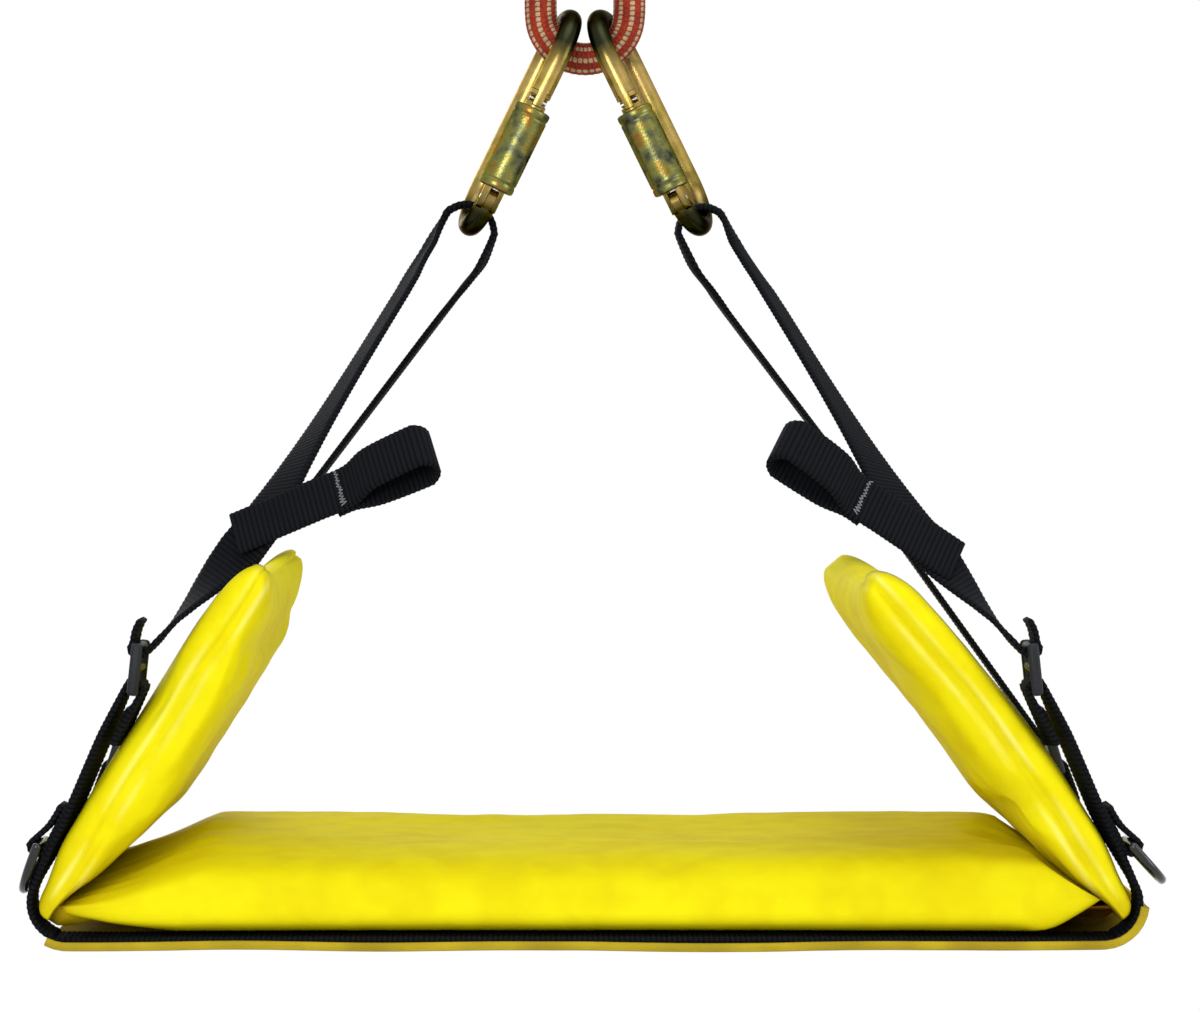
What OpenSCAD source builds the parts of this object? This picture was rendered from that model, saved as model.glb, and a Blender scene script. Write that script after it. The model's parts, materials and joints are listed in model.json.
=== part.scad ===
// Bosun's chair: a padded seat with two side wings, hung by webbing bridles,
// two steel screw-gate carabiners and a short rope sling.
// Millimetres. +X is to the right seen from the front, -Y is the front, +Z is up.
// The origin is the hoist eye: the inside top of the rope sling.

/* [Rope sling] */
// Diameter of the rope
rope_d = 15; // [12:0.5:18]
// Outside diameter of the splice sleeve
splice_d = 19; // [18.5:0.5:24]
// Length of the splice sleeve
splice_l = 24; // [16:1:30]

/* [Carabiners] */
// Outside length of a carabiner
carabiner_l = 116; // [110:1:124]
// Diameter of the carabiner's rod
rod_d = 10; // [9:0.5:11]
// Radius of the end bends, to the middle of the rod
bend_r = 22; // [20:0.5:26]
// Lean of the carabiners from upright, in degrees
carabiner_lean = 26; // [20:1:32]
// Sideways place of each carabiner in the rope's bight
carabiner_x = 7; // [6.5:0.1:7.2]
// Turn of the left carabiner's gate from the picture plane, in degrees
left_gate_turn = 80; // [75:1:85]
// Turn of the right carabiner's gate from the picture plane, in degrees
right_gate_turn = 76; // [75:1:80]
// Distance from the carabiner's outer top to the gate's tip
nose_l = 42; // [38:1:45]
// Distance from the carabiner's outer top to the gate's hinge pin
hinge_l = 97; // [95:0.5:99]
// Diameter of the gate's hinge pin
gate_pin_d = 3; // [2.5:0.1:3.5]
// Diameter of the latch pin
latch_pin_d = 2.5; // [2:0.1:3]
// Thickness of the hinge tongue and the latch tongue
tongue_t = 4; // [3:0.2:4.6]
// Outside diameter of the screw sleeve
sleeve_d = 17; // [14:0.5:19]
// Length of the screw sleeve
sleeve_l = 41; // [34:1:42]
// Distance from the gate's tip down to the unscrewed sleeve
sleeve_drop = 8.5; // [7:0.5:9]
// Diameter of the spring bore in the gate
spring_bore_d = 5.2; // [4.8:0.1:5.6]
// Wire diameter of the gate spring
spring_wire_d = 0.8; // [0.6:0.1:1]
// Turns of the gate spring
spring_turns = 8; // [5:1:10]
// Length of the gate spring
spring_l = 18; // [14:1:20]
// Length of the gate plunger
plunger_l = 7; // [5:1:9]

/* [Webbing] */
// Width of the webbing
webbing_w = 25; // [20:1:28]
// Thickness of the webbing
webbing_t = 2.4; // [1.8:0.1:2.6]
// Width of the bridle where it gathers in the carabiner
gathered_w = 15; // [13:1:16]
// Inside radius of the bridle where it goes over the carabiner's rod
eye_inner_r = 10.8; // [10.6:0.1:11.4]
// Distance of the straps' middles from the seat's front and back edges
strap_inset = 17; // [15:1:25]
// Height of the bridle's kink beside the wing's top
kink_z = -293; // [-300:1:-285]
// Distance of the bridle's kink inside the fold
kink_inset = 85; // [81:1:89]
// Distance of the bridle's kink from the strap's middle, towards the chair's middle
kink_lean = 10; // [6:1:14]
// Twist of the front bridle leg under the carabiner, in degrees
twist_top = 8; // [0:1:20]
// Twist of the front bridle leg at the kink, in degrees
twist_kink = 52; // [30:1:60]
// Length of the bridle's tail above the buckle
tail_l = 11; // [9:1:14]

/* [Buckles] */
// Diameter of the buckle's three bars
bar_d = 4; // [3:0.5:4.5]
// Spacing of the buckle's bars
bar_pitch = 9; // [8.5:0.5:11]
// Distance of the front buckle's lowest bar inside the fold
buckle_inset = 34; // [32:1:36]
// Height of the front buckle's lowest bar
buckle_z = -361; // [-364:1:-356]
// Lean of the front buckle from upright, in degrees
front_buckle_lean = 6; // [2:1:12]
// Distance of the rear buckle's lowest bar inside the fold
rear_buckle_inset = 0; // [-1:0.5:1]
// Height of the rear buckle's lowest bar
rear_buckle_z = -414; // [-418:1:-408]
// Thickness of the buckle's side rails
rail_t = 4; // [3:0.5:5]

/* [Hand loops] */
// Length of a hand loop from its sewn root to its end
loop_l = 72; // [64:1:80]
// Length of the open eye of a hand loop
loop_eye_l = 40; // [32:1:44]
// Open height of the eye of a hand loop
loop_eye_h = 14; // [10:1:18]
// Rise of the left hand loop above level, in degrees
left_loop_rise = 19; // [10:1:30]
// Rise of the right hand loop above level, in degrees
right_loop_rise = 29; // [20:1:36]
// Share of the way from the kink to the buckle where the left loop is sewn on
left_loop_place = 0.0; // [0:0.05:0.1]
// Share of the way from the kink to the buckle where the right loop is sewn on
right_loop_place = 0.2; // [0.1:0.05:0.3]
// Distance of the left loop's sewn end from the edge of the webbing
left_loop_lead = 2.4; // [2:0.1:3]
// Distance of the right loop's sewn end from the edge of the webbing
right_loop_lead = 0.4; // [0.2:0.1:1.2]
// Gap between the left loop's sewn end and the webbing it is sewn to
left_loop_gap = 0.85; // [0.75:0.05:0.9]
// Gap between the right loop's sewn end and the webbing it is sewn to
right_loop_gap = 0.3; // [0.2:0.05:0.5]

/* [Seat] */
// Distance of each fold from the middle of the seat
fold_x = 231; // [225:1:236]
// Height of the folds
fold_z = -456; // [-462:1:-450]
// Depth of the seat and wings from front to back
seat_depth = 250; // [240:1:270]
// Height of the seat pad's crown above the folds
seat_up = 19; // [17:1:20]
// Depth of the seat pad's base below the folds
seat_down = 13; // [12:0.5:14]
// Length over which the seat pad is drawn in to a fold
seat_pinch = 48; // [44:1:55]
// How far the pad's long sides are drawn in at the middle
draw_in = 5; // [0:0.5:10]
// Thickness of the welded lips outside the folds
lip_t = 1.5; // [1:0.1:2]
// Thickness of the welded lips inside the folds
inner_lip_t = 0.3; // [0.2:0.05:0.4]
// Gap of each lip from the line of its fold
fold_gap = 0.8; // [0.6:0.1:0.9]
// Thickness of the seat board
board_t = 6; // [4:0.5:7]
// Thickness of the backing panels
backing_t = 1.2; // [0.8:0.1:1.6]
// Margin of the filling inside the cover's edge
filling_margin = 20; // [16:1:30]
// Wadding left in the seat cover above the foam
seat_wadding = 6; // [4:0.5:8]
// Thickness of the under-sheet with its hems
sheet_t = 4; // [2:0.5:5]
// Radius of the straps at the seat's corners, to the middle of the webbing
corner_r = 16.5; // [15:0.5:18]
// Curl of the under-sheet's left end round the seat's corner, in degrees
left_curl = 28; // [20:1:36]
// Curl of the under-sheet's right end round the seat's corner, in degrees
right_curl = 84; // [70:1:88]
// Distance of the corner's middle inside the fold
corner_inset = 5; // [4:0.5:6]

/* [Wings] */
// Length of the left wing from its fold to its top edge
left_wing_l = 175; // [170:1:178]
// Length of the right wing from its fold to its top edge
right_wing_l = 182; // [176:1:184]
// Outward bow of the left wing at its middle
left_wing_bow = 1; // [0:0.5:1.5]
// Outward bow of the right wing at its middle
right_wing_bow = 5; // [4:0.5:5.5]
// Lean of the left wing from level, in degrees
left_wing_lean = 58; // [56:1:59]
// Lean of the right wing from level, in degrees
right_wing_lean = 53; // [50:1:55]
// Swell of the wing's outer face
wing_out = 14; // [12:0.5:14.5]
// Swell of the wing's inner face
wing_in = 14; // [12:0.5:14.5]
// Length over which a wing's inner face is drawn in to its fold
wing_pinch = 54; // [50:1:60]
// Length over which a wing's outer face is drawn in to its fold
wing_outer_pinch = 32; // [30:1:40]
// Length over which a wing's inner face is drawn in to its top edge
wing_top_pinch = 26; // [20:1:30]
// Length over which a wing's outer face is drawn in to its top edge
wing_outer_top_pinch = 40; // [38:1:44]
// Half thickness of the wing's welded top edge
wing_edge_t = 4; // [3:0.5:5]
// Thickness of the wing stiffener
stiffener_t = 3; // [2:0.5:3.5]
// Wadding left in the wing cover on the sitter's side
wing_wadding = 5; // [3:0.5:6]
// Depth of the wing's backing below the top of its outer swell
wing_backing_drop = 3.5; // [3:0.1:4]

/* [Tool rings] */
// Wire diameter of a tool ring
ring_wire_d = 4; // [3:0.5:4.5]
// Inside width of a tool ring
ring_w = 26; // [25.5:0.5:30]
// Inside length of a tool ring
ring_l = 17; // [14:1:20]
// Hang of the left ring out from straight down, in degrees
left_ring_swing = 20; // [19:1:26]
// Hang of the right ring out from straight down, in degrees
right_ring_swing = 42; // [38:1:50]
// Height of the ring's bar above the middle of the seat's corner
ring_rise = 16; // [14:1:20]

/* [Fits] */
// Gap between soft pieces that lie on each other
soft_gap = 0.3; // [0.2:0.05:0.4]
// Running clearance of pins and the screw sleeve, on the radius
running_gap = 0.06; // [0.02:0.01:0.1]
// Clearance of the gate's tongues in their slots, on each side
slot_gap = 0.25; // [0.15:0.05:0.4]
// Gap between a carabiner's rod and the rope it hangs on
hang_gap = 0.6; // [0.4:0.1:0.8]
// Gap between a carabiner's rod and the bridle over it
eye_gap = 0.8; // [0.7:0.05:0.9]

/* [Hidden] */
$fn = 48;
left = -1;
right = 1;

// The rope's route, one end of the splice to the other, as [x, z]
rope_points = [
    [20.5, -30], [20.5, -42], [20.5, -55], [19, -63], [14.5, -70], [7.8, -74.5], [0, -76],
    [-7.8, -74.5], [-14.5, -70], [-19, -63], [-20.5, -55], [-20.5, -42], [-20.5, -28], [-20.5, -13],
    [-19, -5], [-14.5, 2], [-7.8, 6.1], [0, 7.5], [7.8, 6.1], [14.5, 2], [19, -5], [20.5, -13],
    [20.5, -29]
];
bight_r = 20.5;
bight_z = -76;
splice_z = -29.5;

// Small vector and blending functions
function unit(v) = v / norm(v);
function blend(a, b, t) = a + (b - a) * t;
function ease(t) = t * t * (3 - 2 * t);
function swell(d, reach) = ease(min(1, max(0, d / reach)));
function round_off(d, reach) = sin(90 * min(1, max(0, d / reach)));
function turned(v, axis, a) = v * cos(a) + cross(axis, v) * sin(a) + axis * (axis * v) * (1 - cos(a));

// Solids swept through a list of rings, each a list of points that turns about the way of the sweep
function sweep_faces(rings, sides) = concat(
    [for (i = [0:rings - 2], k = [0:sides - 1]) each [
        [i * sides + k, (i + 1) * sides + k, (i + 1) * sides + (k + 1) % sides],
        [i * sides + k, (i + 1) * sides + (k + 1) % sides, i * sides + (k + 1) % sides]
    ]],
    [for (k = [1:sides - 2]) [0, k, k + 1]],
    [for (k = [1:sides - 2]) [0, k + 1, k] + [1, 1, 1] * (rings - 1) * sides]
);

module sweep(rings) {
    polyhedron([for (r = rings) each r], sweep_faces(len(rings), len(rings[0])), convexity = 10);
}

function way(path, i) = unit(path[min(i + 1, len(path) - 1)] - path[max(i - 1, 0)]);
function square_to(v, w) = unit(v - w * (v * w));

// Rings of a flat ribbon: its path, the way its width lies at each point, and its width there
function ribbon_rings(path, across, widths) = [
    for (i = [0:len(path) - 1])
        let (t = way(path, i), a = square_to(across[i], t) * widths[i] / 2)
        let (n = cross(t, unit(a)) * webbing_t / 2)
        [path[i] + a + n, path[i] - a + n, path[i] - a - n, path[i] + a - n]
];

// Rings of a round tube along a path that stays in one plane square to the given side way
function tube_rings(path, side, d, sides) = [
    for (i = [0:len(path) - 1])
        let (t = way(path, i), a = square_to(side, t), n = cross(t, a))
        [for (k = [0:sides - 1]) path[i] + (a * cos(360 * k / sides) + n * sin(360 * k / sides)) * d / 2]
];

// A point between the second and third of four, on a smooth curve
function curve_point(p, t) = 0.5 * (2 * p[1] + (p[2] - p[0]) * t
    + (2 * p[0] - 5 * p[1] + 4 * p[2] - p[3]) * t * t
    + (3 * p[1] - p[0] - 3 * p[2] + p[3]) * t * t * t);

function smooth(points, steps) = concat(
    [for (i = [0:len(points) - 2], k = [0:steps - 1])
        curve_point([for (j = [-1:2]) points[min(max(i + j, 0), len(points) - 1)]], k / steps)],
    [points[len(points) - 1]]
);

// Rope sling and its splice
module rope_sling() {
    route = [for (p = smooth(rope_points, 2)) [p[0], 0, p[1]]];
    color("firebrick") sweep(tube_rings(route, [0, 1, 0], rope_d, 12));
}

module splice_sleeve() {
    color("black") translate([bight_r, 0, splice_z]) difference() {
        cylinder(d = splice_d, h = splice_l, center = true);
        cylinder(d = rope_d + 2 * soft_gap, h = splice_l + 2, center = true);
    }
}

// Carabiner: drawn with its rod's top middle at the origin, long way down -Z and gate on +X
carabiner_z = bight_z + bight_r
    - sqrt(pow(bight_r - rope_d / 2 - rod_d / 2 - hang_gap, 2) - carabiner_x * carabiner_x);
bend_z = -(carabiner_l - rod_d - bend_r);
nose_z = rod_d / 2 - nose_l;
pin_z = rod_d / 2 - hinge_l;
latch_z = nose_z - 4.3;
latch_reach = 7;
tongue_r = rod_d / 2;
slot_t = tongue_t + 2 * slot_gap;
hinge_bend_end = asin((bend_z - pin_z) / bend_r) + 4;
slot_top_z = pin_z + tongue_r + 2 * slot_gap;
sleeve_z = nose_z - sleeve_drop - sleeve_l;

module at_carabiner(side) {
    turn = side == left ? -left_gate_turn : 180 + right_gate_turn;
    translate([side * carabiner_x, 0, carabiner_z])
        rotate([0, -side * carabiner_lean, 0])
            rotate([0, 0, turn])
                children();
}

module bend(from, to) {
    rotate([90, 0, 0]) rotate([0, 0, from]) rotate_extrude(angle = to - from)
        translate([bend_r, 0]) circle(d = rod_d);
}

module carabiner_frame(side) {
    color("darkkhaki") at_carabiner(side) difference() {
        union() {
            translate([0, 0, -bend_r]) bend(0, 180);
            translate([-bend_r, 0, bend_z]) cylinder(d = rod_d, h = -bend_r - bend_z);
            translate([0, 0, bend_z]) bend(180, 360 - hinge_bend_end);
            translate([bend_r, 0, nose_z]) cylinder(d = rod_d, h = -bend_r - nose_z);
            intersection() {
                translate([bend_r, 0, nose_z - latch_reach]) cylinder(d = rod_d, h = latch_reach + 1);
                translate([bend_r, 0, nose_z]) cube([rod_d + 1, tongue_t, 4 * latch_reach], center = true);
            }
            translate([bend_r, 0, pin_z]) rotate([90, 0, 0])
                cylinder(r = tongue_r, h = tongue_t, center = true);
        }
        for (face = [-1, 1])
            translate([bend_r, face * (tongue_t / 2 + rod_d / 2), pin_z]) rotate([90, 0, 0])
                cylinder(r = tongue_r + 2 * slot_gap, h = rod_d, center = true);
        translate([bend_r, 0, pin_z]) rotate([90, 0, 0])
            cylinder(d = gate_pin_d, h = rod_d + 2, center = true);
        translate([bend_r, 0, latch_z]) rotate([90, 0, 0])
            cylinder(d = latch_pin_d, h = rod_d + 2, center = true);
    }
}

module cross_pin(side, z, d, l) {
    at_carabiner(side) translate([bend_r, 0, z]) rotate([90, 0, 0])
        cylinder(d = d, h = l, center = true);
}

module gate_pin(side) {
    color("silver") cross_pin(side, pin_z, gate_pin_d, rod_d - 0.4);
}

module latch_pin(side) {
    color("silver") cross_pin(side, latch_z, latch_pin_d, rod_d - 1.6);
}

module gate(side) {
    notch = latch_pin_d + 1.4;
    color("khaki") at_carabiner(side) translate([bend_r, 0, 0]) difference() {
        union() {
            translate([0, 0, pin_z]) cylinder(d = rod_d, h = nose_z - pin_z - soft_gap);
            intersection() {
                translate([0, 0, pin_z]) rotate([90, 0, 0])
                    cylinder(r = tongue_r, h = rod_d, center = true);
                translate([0, 0, pin_z - rod_d]) cylinder(d = rod_d, h = rod_d);
            }
        }
        translate([-rod_d, -slot_t / 2, pin_z - rod_d]) cube([2 * rod_d, slot_t, slot_top_z - pin_z + rod_d]);
        translate([-rod_d, -slot_t / 2, nose_z - latch_reach - 2 * slot_gap])
            cube([2 * rod_d, slot_t, latch_reach + rod_d]);
        translate([-notch / 2, -rod_d, latch_z - notch / 2]) cube([rod_d, 2 * rod_d, notch]);
        translate([0, 0, slot_top_z - 1]) cylinder(d = spring_bore_d, h = plunger_l + spring_l + 1);
        translate([0, 0, pin_z]) rotate([90, 0, 0])
            cylinder(d = gate_pin_d + 2 * running_gap, h = rod_d + 2, center = true);
    }
}

module gate_plunger(side) {
    color("silver") at_carabiner(side) translate([bend_r, 0, slot_top_z])
        cylinder(d = spring_bore_d - 2 * running_gap, h = plunger_l - soft_gap);
}

module gate_spring(side) {
    steps = 8;
    turn_r = spring_bore_d / 2 - spring_wire_d / 2 - slot_gap;
    rise = (spring_l - spring_wire_d - 2 * soft_gap) / spring_turns;
    coil = [for (i = [0:spring_turns * steps]) [
        turn_r * cos(360 * i / steps), turn_r * sin(360 * i / steps), rise * i / steps]];
    color("silver") at_carabiner(side)
        translate([bend_r, 0, slot_top_z + plunger_l + spring_wire_d / 2])
            sweep(tube_rings(coil, [0, 0, 1], spring_wire_d, 6));
}

module sleeve(side) {
    grip = 1;
    color("olive") at_carabiner(side) translate([bend_r, 0, sleeve_z]) difference() {
        union() {
            cylinder(d1 = sleeve_d - 2 * grip, d2 = sleeve_d, h = grip);
            translate([0, 0, grip]) cylinder(d = sleeve_d, h = sleeve_l - 2 * grip);
            translate([0, 0, sleeve_l - grip]) cylinder(d1 = sleeve_d, d2 = sleeve_d - 2 * grip, h = grip);
        }
        translate([0, 0, -1]) cylinder(d = rod_d + 2 * running_gap, h = sleeve_l + 2);
    }
}

// Places shared by straps and buckles, drawn for the left side in the plane of x and z
function flat(p, y) = [p[0], y, p[1]];
strap_y = seat_depth / 2 - strap_inset;
corner = [-fold_x + corner_inset, fold_z - seat_down - soft_gap - webbing_t / 2 + corner_r];
front_bar = [buckle_inset - fold_x, buckle_z];
rear_bar = [rear_buckle_inset - fold_x, rear_buckle_z];
wrap_r = bar_d / 2 + soft_gap + webbing_t / 2;
kink = [kink_inset - fold_x, kink_z];
layer = webbing_t + soft_gap;

// The strap that goes from a buckle's lowest bar to the seat's corner: its lean, its way up and its way out
function strap_lean(bar) = let (v = corner - bar) atan2(-v[0], -v[1]) + asin(corner_r / norm(v));
function strap_up(bar) = [sin(strap_lean(bar)), cos(strap_lean(bar))];
function strap_out(bar) = [-cos(strap_lean(bar)), sin(strap_lean(bar))];

// The bridle's way from a buckle's top bar to the kink
lead_l = 9;
function buckle_lean(bar) = bar == front_bar ? front_buckle_lean : strap_lean(bar);
function buckle_up(bar) = [sin(buckle_lean(bar)), cos(buckle_lean(bar))];
function top_bar(bar) = bar + buckle_up(bar) * 2 * bar_pitch;
function lead_way(bar) = unit(kink - top_bar(bar));
function lead_in(bar) = [lead_way(bar)[1], -lead_way(bar)[0]];
function lead(bar) = top_bar(bar) + lead_in(bar) * wrap_r + lead_way(bar) * lead_l;

module on_side(side) {
    mirror([side == right ? 1 : 0, 0, 0]) children();
}

// Seat strap: looped round a left buckle's low bar, down, under the seat and up to the right one
front_loop_back = 26;
rear_loop_back = 17;
function left_half_strap(bar, loop_back) = let (up = strap_up(bar), out = strap_out(bar)) concat(
    [bar - up * loop_back - out * (wrap_r + 0.2)],
    [for (a = [-90:30:90]) bar + (up * cos(a) + out * sin(a)) * wrap_r],
    [bar - up * loop_back + out * (wrap_r - 1)],
    [for (a = [0.35, 0.18]) blend(corner + out * corner_r, bar, a)],
    [for (a = [180 - strap_lean(bar):15:240]) corner + [cos(a), sin(a)] * corner_r],
    [corner - [0, corner_r]]
);

module seat_strap(y, bar, loop_back) {
    half = left_half_strap(bar, loop_back);
    count = len(half);
    mirrored = [for (i = [count - 1:-1:0]) [-half[i][0], half[i][1]]];
    path = [for (p = concat(half, mirrored)) flat(p, y)];
    across = [for (p = path) [0, 1, 0]];
    widths = [for (p = path) webbing_w];
    color("dimgray") sweep(ribbon_rings(path, across, widths));
}

// Bridle strap: buckle, front leg, over the carabiner's rod, rear leg, buckle
rod_low = [-carabiner_x, carabiner_z] - [sin(carabiner_lean), cos(carabiner_lean)] * (carabiner_l - rod_d);
eye_up = [sin(carabiner_lean), cos(carabiner_lean)];
eye_out = [-cos(carabiner_lean), sin(carabiner_lean)];
eye_hold = bend_r - sqrt(pow(bend_r - rod_d / 2, 2) - pow(gathered_w / 2, 2)) + eye_gap + webbing_t / 2;
eye_r = eye_inner_r + webbing_t / 2;
eye_middle = rod_low + eye_up * (eye_hold - eye_r);
eye_leg_l = 12;
front_leg_top = eye_middle + eye_out * eye_r - eye_up * eye_leg_l;
rear_leg_top = eye_middle - eye_out * eye_r - eye_up * eye_leg_l;
kink_y = strap_y - kink_lean;

function leg_twist(t) = t < 1 ? blend(twist_top, twist_kink, pow(t, 1.5)) : twist_kink * (1 - ease(t - 1));
function leg_point(t, top, bar) = t < 1
    ? blend(flat(top, 0), flat(kink, kink_y), t)
    : blend(flat(kink, kink_y), flat(lead(bar), strap_y), t - 1);
function leg_way(t, top, bar) = unit(leg_point(t + 0.02, top, bar) - leg_point(t - 0.02, top, bar));
function leg_across(t, top, bar, twist) = let (w = leg_way(t, top, bar))
    turned(square_to([0, 1, 0], w), w, twist * leg_twist(t));
function leg_width(t) = blend(gathered_w, webbing_w, ease(min(1, t * 5)));
leg_steps = [for (i = [0:13]) i / 14];
lead_steps = [for (i = [0:6]) 1 + i / 6];

// One leg as rows of [point, width's way, width], from the carabiner down to its tail
function leg_rows(top, bar, twist) = let (
        over = top_bar(bar),
        in = lead_in(bar),
        along = lead_way(bar))
    concat(
    [for (t = concat(leg_steps, lead_steps))
        [leg_point(t, top, bar), leg_across(min(t, 1.96), top, bar, twist), leg_width(t)]],
    [for (a = [0:30:180])
        [flat(over + (in * cos(a) - along * sin(a)) * wrap_r, strap_y), [0, 1, 0], webbing_w]],
    [for (s = [0.5, 1])
        [flat(over - in * (wrap_r + s * 2) + buckle_up(bar) * s * tail_l, strap_y), [0, 1, 0], webbing_w]]
);
function to_front(rows) = [for (r = rows)
    [[r[0][0], -r[0][1], r[0][2]], [r[1][0], -r[1][1], r[1][2]] * -1, r[2]]];
function backwards(rows) = [for (i = [len(rows) - 1:-1:0]) rows[i]];
front_rows = to_front(leg_rows(front_leg_top, front_bar, 1));
rear_rows = leg_rows(rear_leg_top, rear_bar, 0);
eye_rows = [for (a = [0:15:180])
    [flat(eye_middle + (eye_out * cos(a) + eye_up * sin(a)) * eye_r, 0), [0, 1, 0], gathered_w]];

module bridle_strap(side) {
    rows = concat(backwards(front_rows), eye_rows, rear_rows);
    color("dimgray") on_side(side)
        sweep(ribbon_rings([for (r = rows) r[0]], [for (r = rows) r[1]], [for (r = rows) r[2]]));
}

// Three-bar buckle on the straps, its bars along the seat's depth
rail_l = 2 * bar_pitch + bar_d;

module buckle(side, y, bar) {
    inner_w = webbing_w + 2;
    color("black") on_side(side) translate(flat(bar, y)) rotate([0, buckle_lean(bar), 0]) {
        for (i = [0:2])
            translate([0, 0, i * bar_pitch]) rotate([90, 0, 0])
                cylinder(d = bar_d, h = inner_w + rail_t, center = true);
        for (face = [-1, 1])
            translate([0, face * (inner_w + rail_t) / 2, bar_pitch])
                cube([bar_d + 1, rail_t, rail_l + 1], center = true);
    }
}

// Hand loop: sewn flat on the front bridle leg, then an open eye
function loop_root(side) = 1 + (side == left ? left_loop_place : right_loop_place);
function leg_normal(t) = let (
        a = leg_across(t, front_leg_top, front_bar, 1),
        w = leg_way(t, front_leg_top, front_bar))
    let (n = cross(w, a)) [n[0], -n[1], n[2]];
function loop_normal(side) = let (n = leg_normal(loop_root(side))) n[1] < 0 ? n : -n;
function loop_way(side) = let (rise = side == left ? left_loop_rise : right_loop_rise)
    square_to([cos(rise), 0, sin(rise)], loop_normal(side));
function loop_start(side) = let (p = leg_point(loop_root(side), front_leg_top, front_bar))
    [p[0], -p[1], p[2]] + loop_normal(side) * (layer + (side == left ? left_loop_gap : right_loop_gap))
    + loop_way(side) * (webbing_w / 2 + (side == left ? left_loop_lead : right_loop_lead));

function loop_profile() = let (neck = loop_l - loop_eye_l, h = loop_eye_h / 2, r = loop_eye_h / 2)
    concat(
        [[0, 0], [neck / 2, 0], [neck, 0], [neck + loop_eye_l * 0.3, h * 0.75]],
        [for (a = [90:-30:-90]) [loop_l - r + r * cos(a), r * sin(a)]],
        [[neck + loop_eye_l * 0.3, -h * 0.85], [neck, -layer], [neck - 8, -layer]]
    );

module hand_loop(side) {
    d = loop_way(side);
    n = loop_normal(side);
    path = [for (p = loop_profile()) loop_start(side) + d * p[0] + n * p[1]];
    across = [for (p = path) cross(n, d)];
    widths = [for (p = path) webbing_w];
    color("dimgray") on_side(side) sweep(ribbon_rings(path, across, widths));
}

// Tool ring at each front corner of the seat, in a webbing tab on the seat strap
ring_gap = ring_wire_d / 2 + soft_gap + webbing_t / 2;
tab_up = strap_up(front_bar);
tab_out = strap_out(front_bar);
ring_at = corner + tab_out * (corner_r + layer + ring_gap) + tab_up * ring_rise;
tab_l = 20;

module ring_tab(side) {
    y = -strap_y;
    path = concat(
        [flat(ring_at - tab_out * ring_gap + tab_up * tab_l, y)],
        [for (a = [90:-30:-90])
            flat(ring_at - (tab_up * cos(a) + tab_out * sin(a)) * ring_gap, y)],
        [flat(ring_at - tab_out * (ring_gap - layer - 1) + tab_up * tab_l * 0.45, y)],
        [flat(ring_at - tab_out * (ring_gap - layer) + tab_up * tab_l, y)]
    );
    across = [for (p = path) [0, 1, 0]];
    widths = [for (p = path) ring_w - 2];
    color("dimgray") on_side(side) sweep(ribbon_rings(path, across, widths));
}

module tool_ring(side) {
    swing = side == left ? left_ring_swing : right_ring_swing;
    half = ring_w / 2 + ring_wire_d / 2;
    reach = ring_l + ring_wire_d - half;
    color("black") on_side(side) translate([ring_at[0], -strap_y, ring_at[1]]) rotate([0, swing, 0]) {
        rotate([90, 0, 0]) cylinder(d = ring_wire_d, h = 2 * half, center = true);
        for (face = [-1, 1]) translate([0, face * half, 0]) {
            sphere(d = ring_wire_d);
            translate([0, 0, -max(reach, 0.01)]) cylinder(d = ring_wire_d, h = max(reach, 0.01));
        }
        translate([0, 0, -reach]) rotate([0, 90, 0]) rotate([0, 0, -90])
            rotate_extrude(angle = 180) translate([half, 0]) circle(d = ring_wire_d);
    }
}

// Pads: rings of a rounded section, full in the middle and drawn in to the folds
function bulge(c, power) = sign(c) * pow(abs(c), 2 / power);
function pad_ring(x, half, up, down, up_power, down_power) = [
    for (k = [0:23])
        let (c = cos(15 * k), s = sin(15 * k), power = s > 0 ? up_power : down_power)
        [x, half * bulge(c, power), (s > 0 ? up : down) * bulge(s, power)]
];

seat_stations = 26;
seat_end = fold_x - fold_gap;
function seat_ring(x) = let (
        full = swell(fold_x - abs(x), seat_pinch),
        half = seat_depth / 2 - draw_in * (1 - pow(x / fold_x, 2)))
    pad_ring(x, half, blend(inner_lip_t, seat_up, full), blend(lip_t, seat_down, full), 4, 8);
filling_x = fold_x - seat_pinch;
filling_y = seat_depth / 2 - filling_margin;
backing_z = fold_z - seat_down + backing_t / 2;
board_z = backing_z + backing_t;
foam_z = board_z + board_t;
foam_top_z = fold_z + seat_up - seat_wadding;

module seat_layer(z, h) {
    translate([-filling_x, -filling_y, z]) cube([2 * filling_x, 2 * filling_y, h]);
}

module seat_cover() {
    color("gold") difference() {
        translate([0, 0, fold_z])
            sweep([for (i = [0:seat_stations]) seat_ring(-seat_end * cos(180 * i / seat_stations))]);
        seat_layer(backing_z - seat_down, foam_top_z - backing_z + seat_down);
    }
}

module seat_backing() {
    color("goldenrod") seat_layer(backing_z, backing_t);
}

module seat_board() {
    color("burlywood") seat_layer(board_z, board_t);
}

module seat_foam() {
    color("ivory") seat_layer(foam_z, foam_top_z - foam_z);
}

// Under-sheet: flat below the seat straps, its ends curled up round the corners
sheet_in_r = corner_r + webbing_t / 2 + soft_gap;
sheet_out_r = sheet_in_r + sheet_t;

module curled_end(curl) {
    translate(corner) difference() {
        circle(r = sheet_out_r);
        circle(r = sheet_in_r);
        translate([0, -2 * sheet_out_r]) square(4 * sheet_out_r);
        rotate(90 - curl) translate([-2 * sheet_out_r, 0]) square(4 * sheet_out_r);
    }
}

module under_sheet() {
    color("gold") rotate([90, 0, 0]) linear_extrude(seat_depth, center = true) {
        translate([corner[0], corner[1] - sheet_out_r]) square([-2 * corner[0], sheet_t]);
        curled_end(left_curl);
        mirror([1, 0]) curled_end(right_curl);
    }
}

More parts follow.
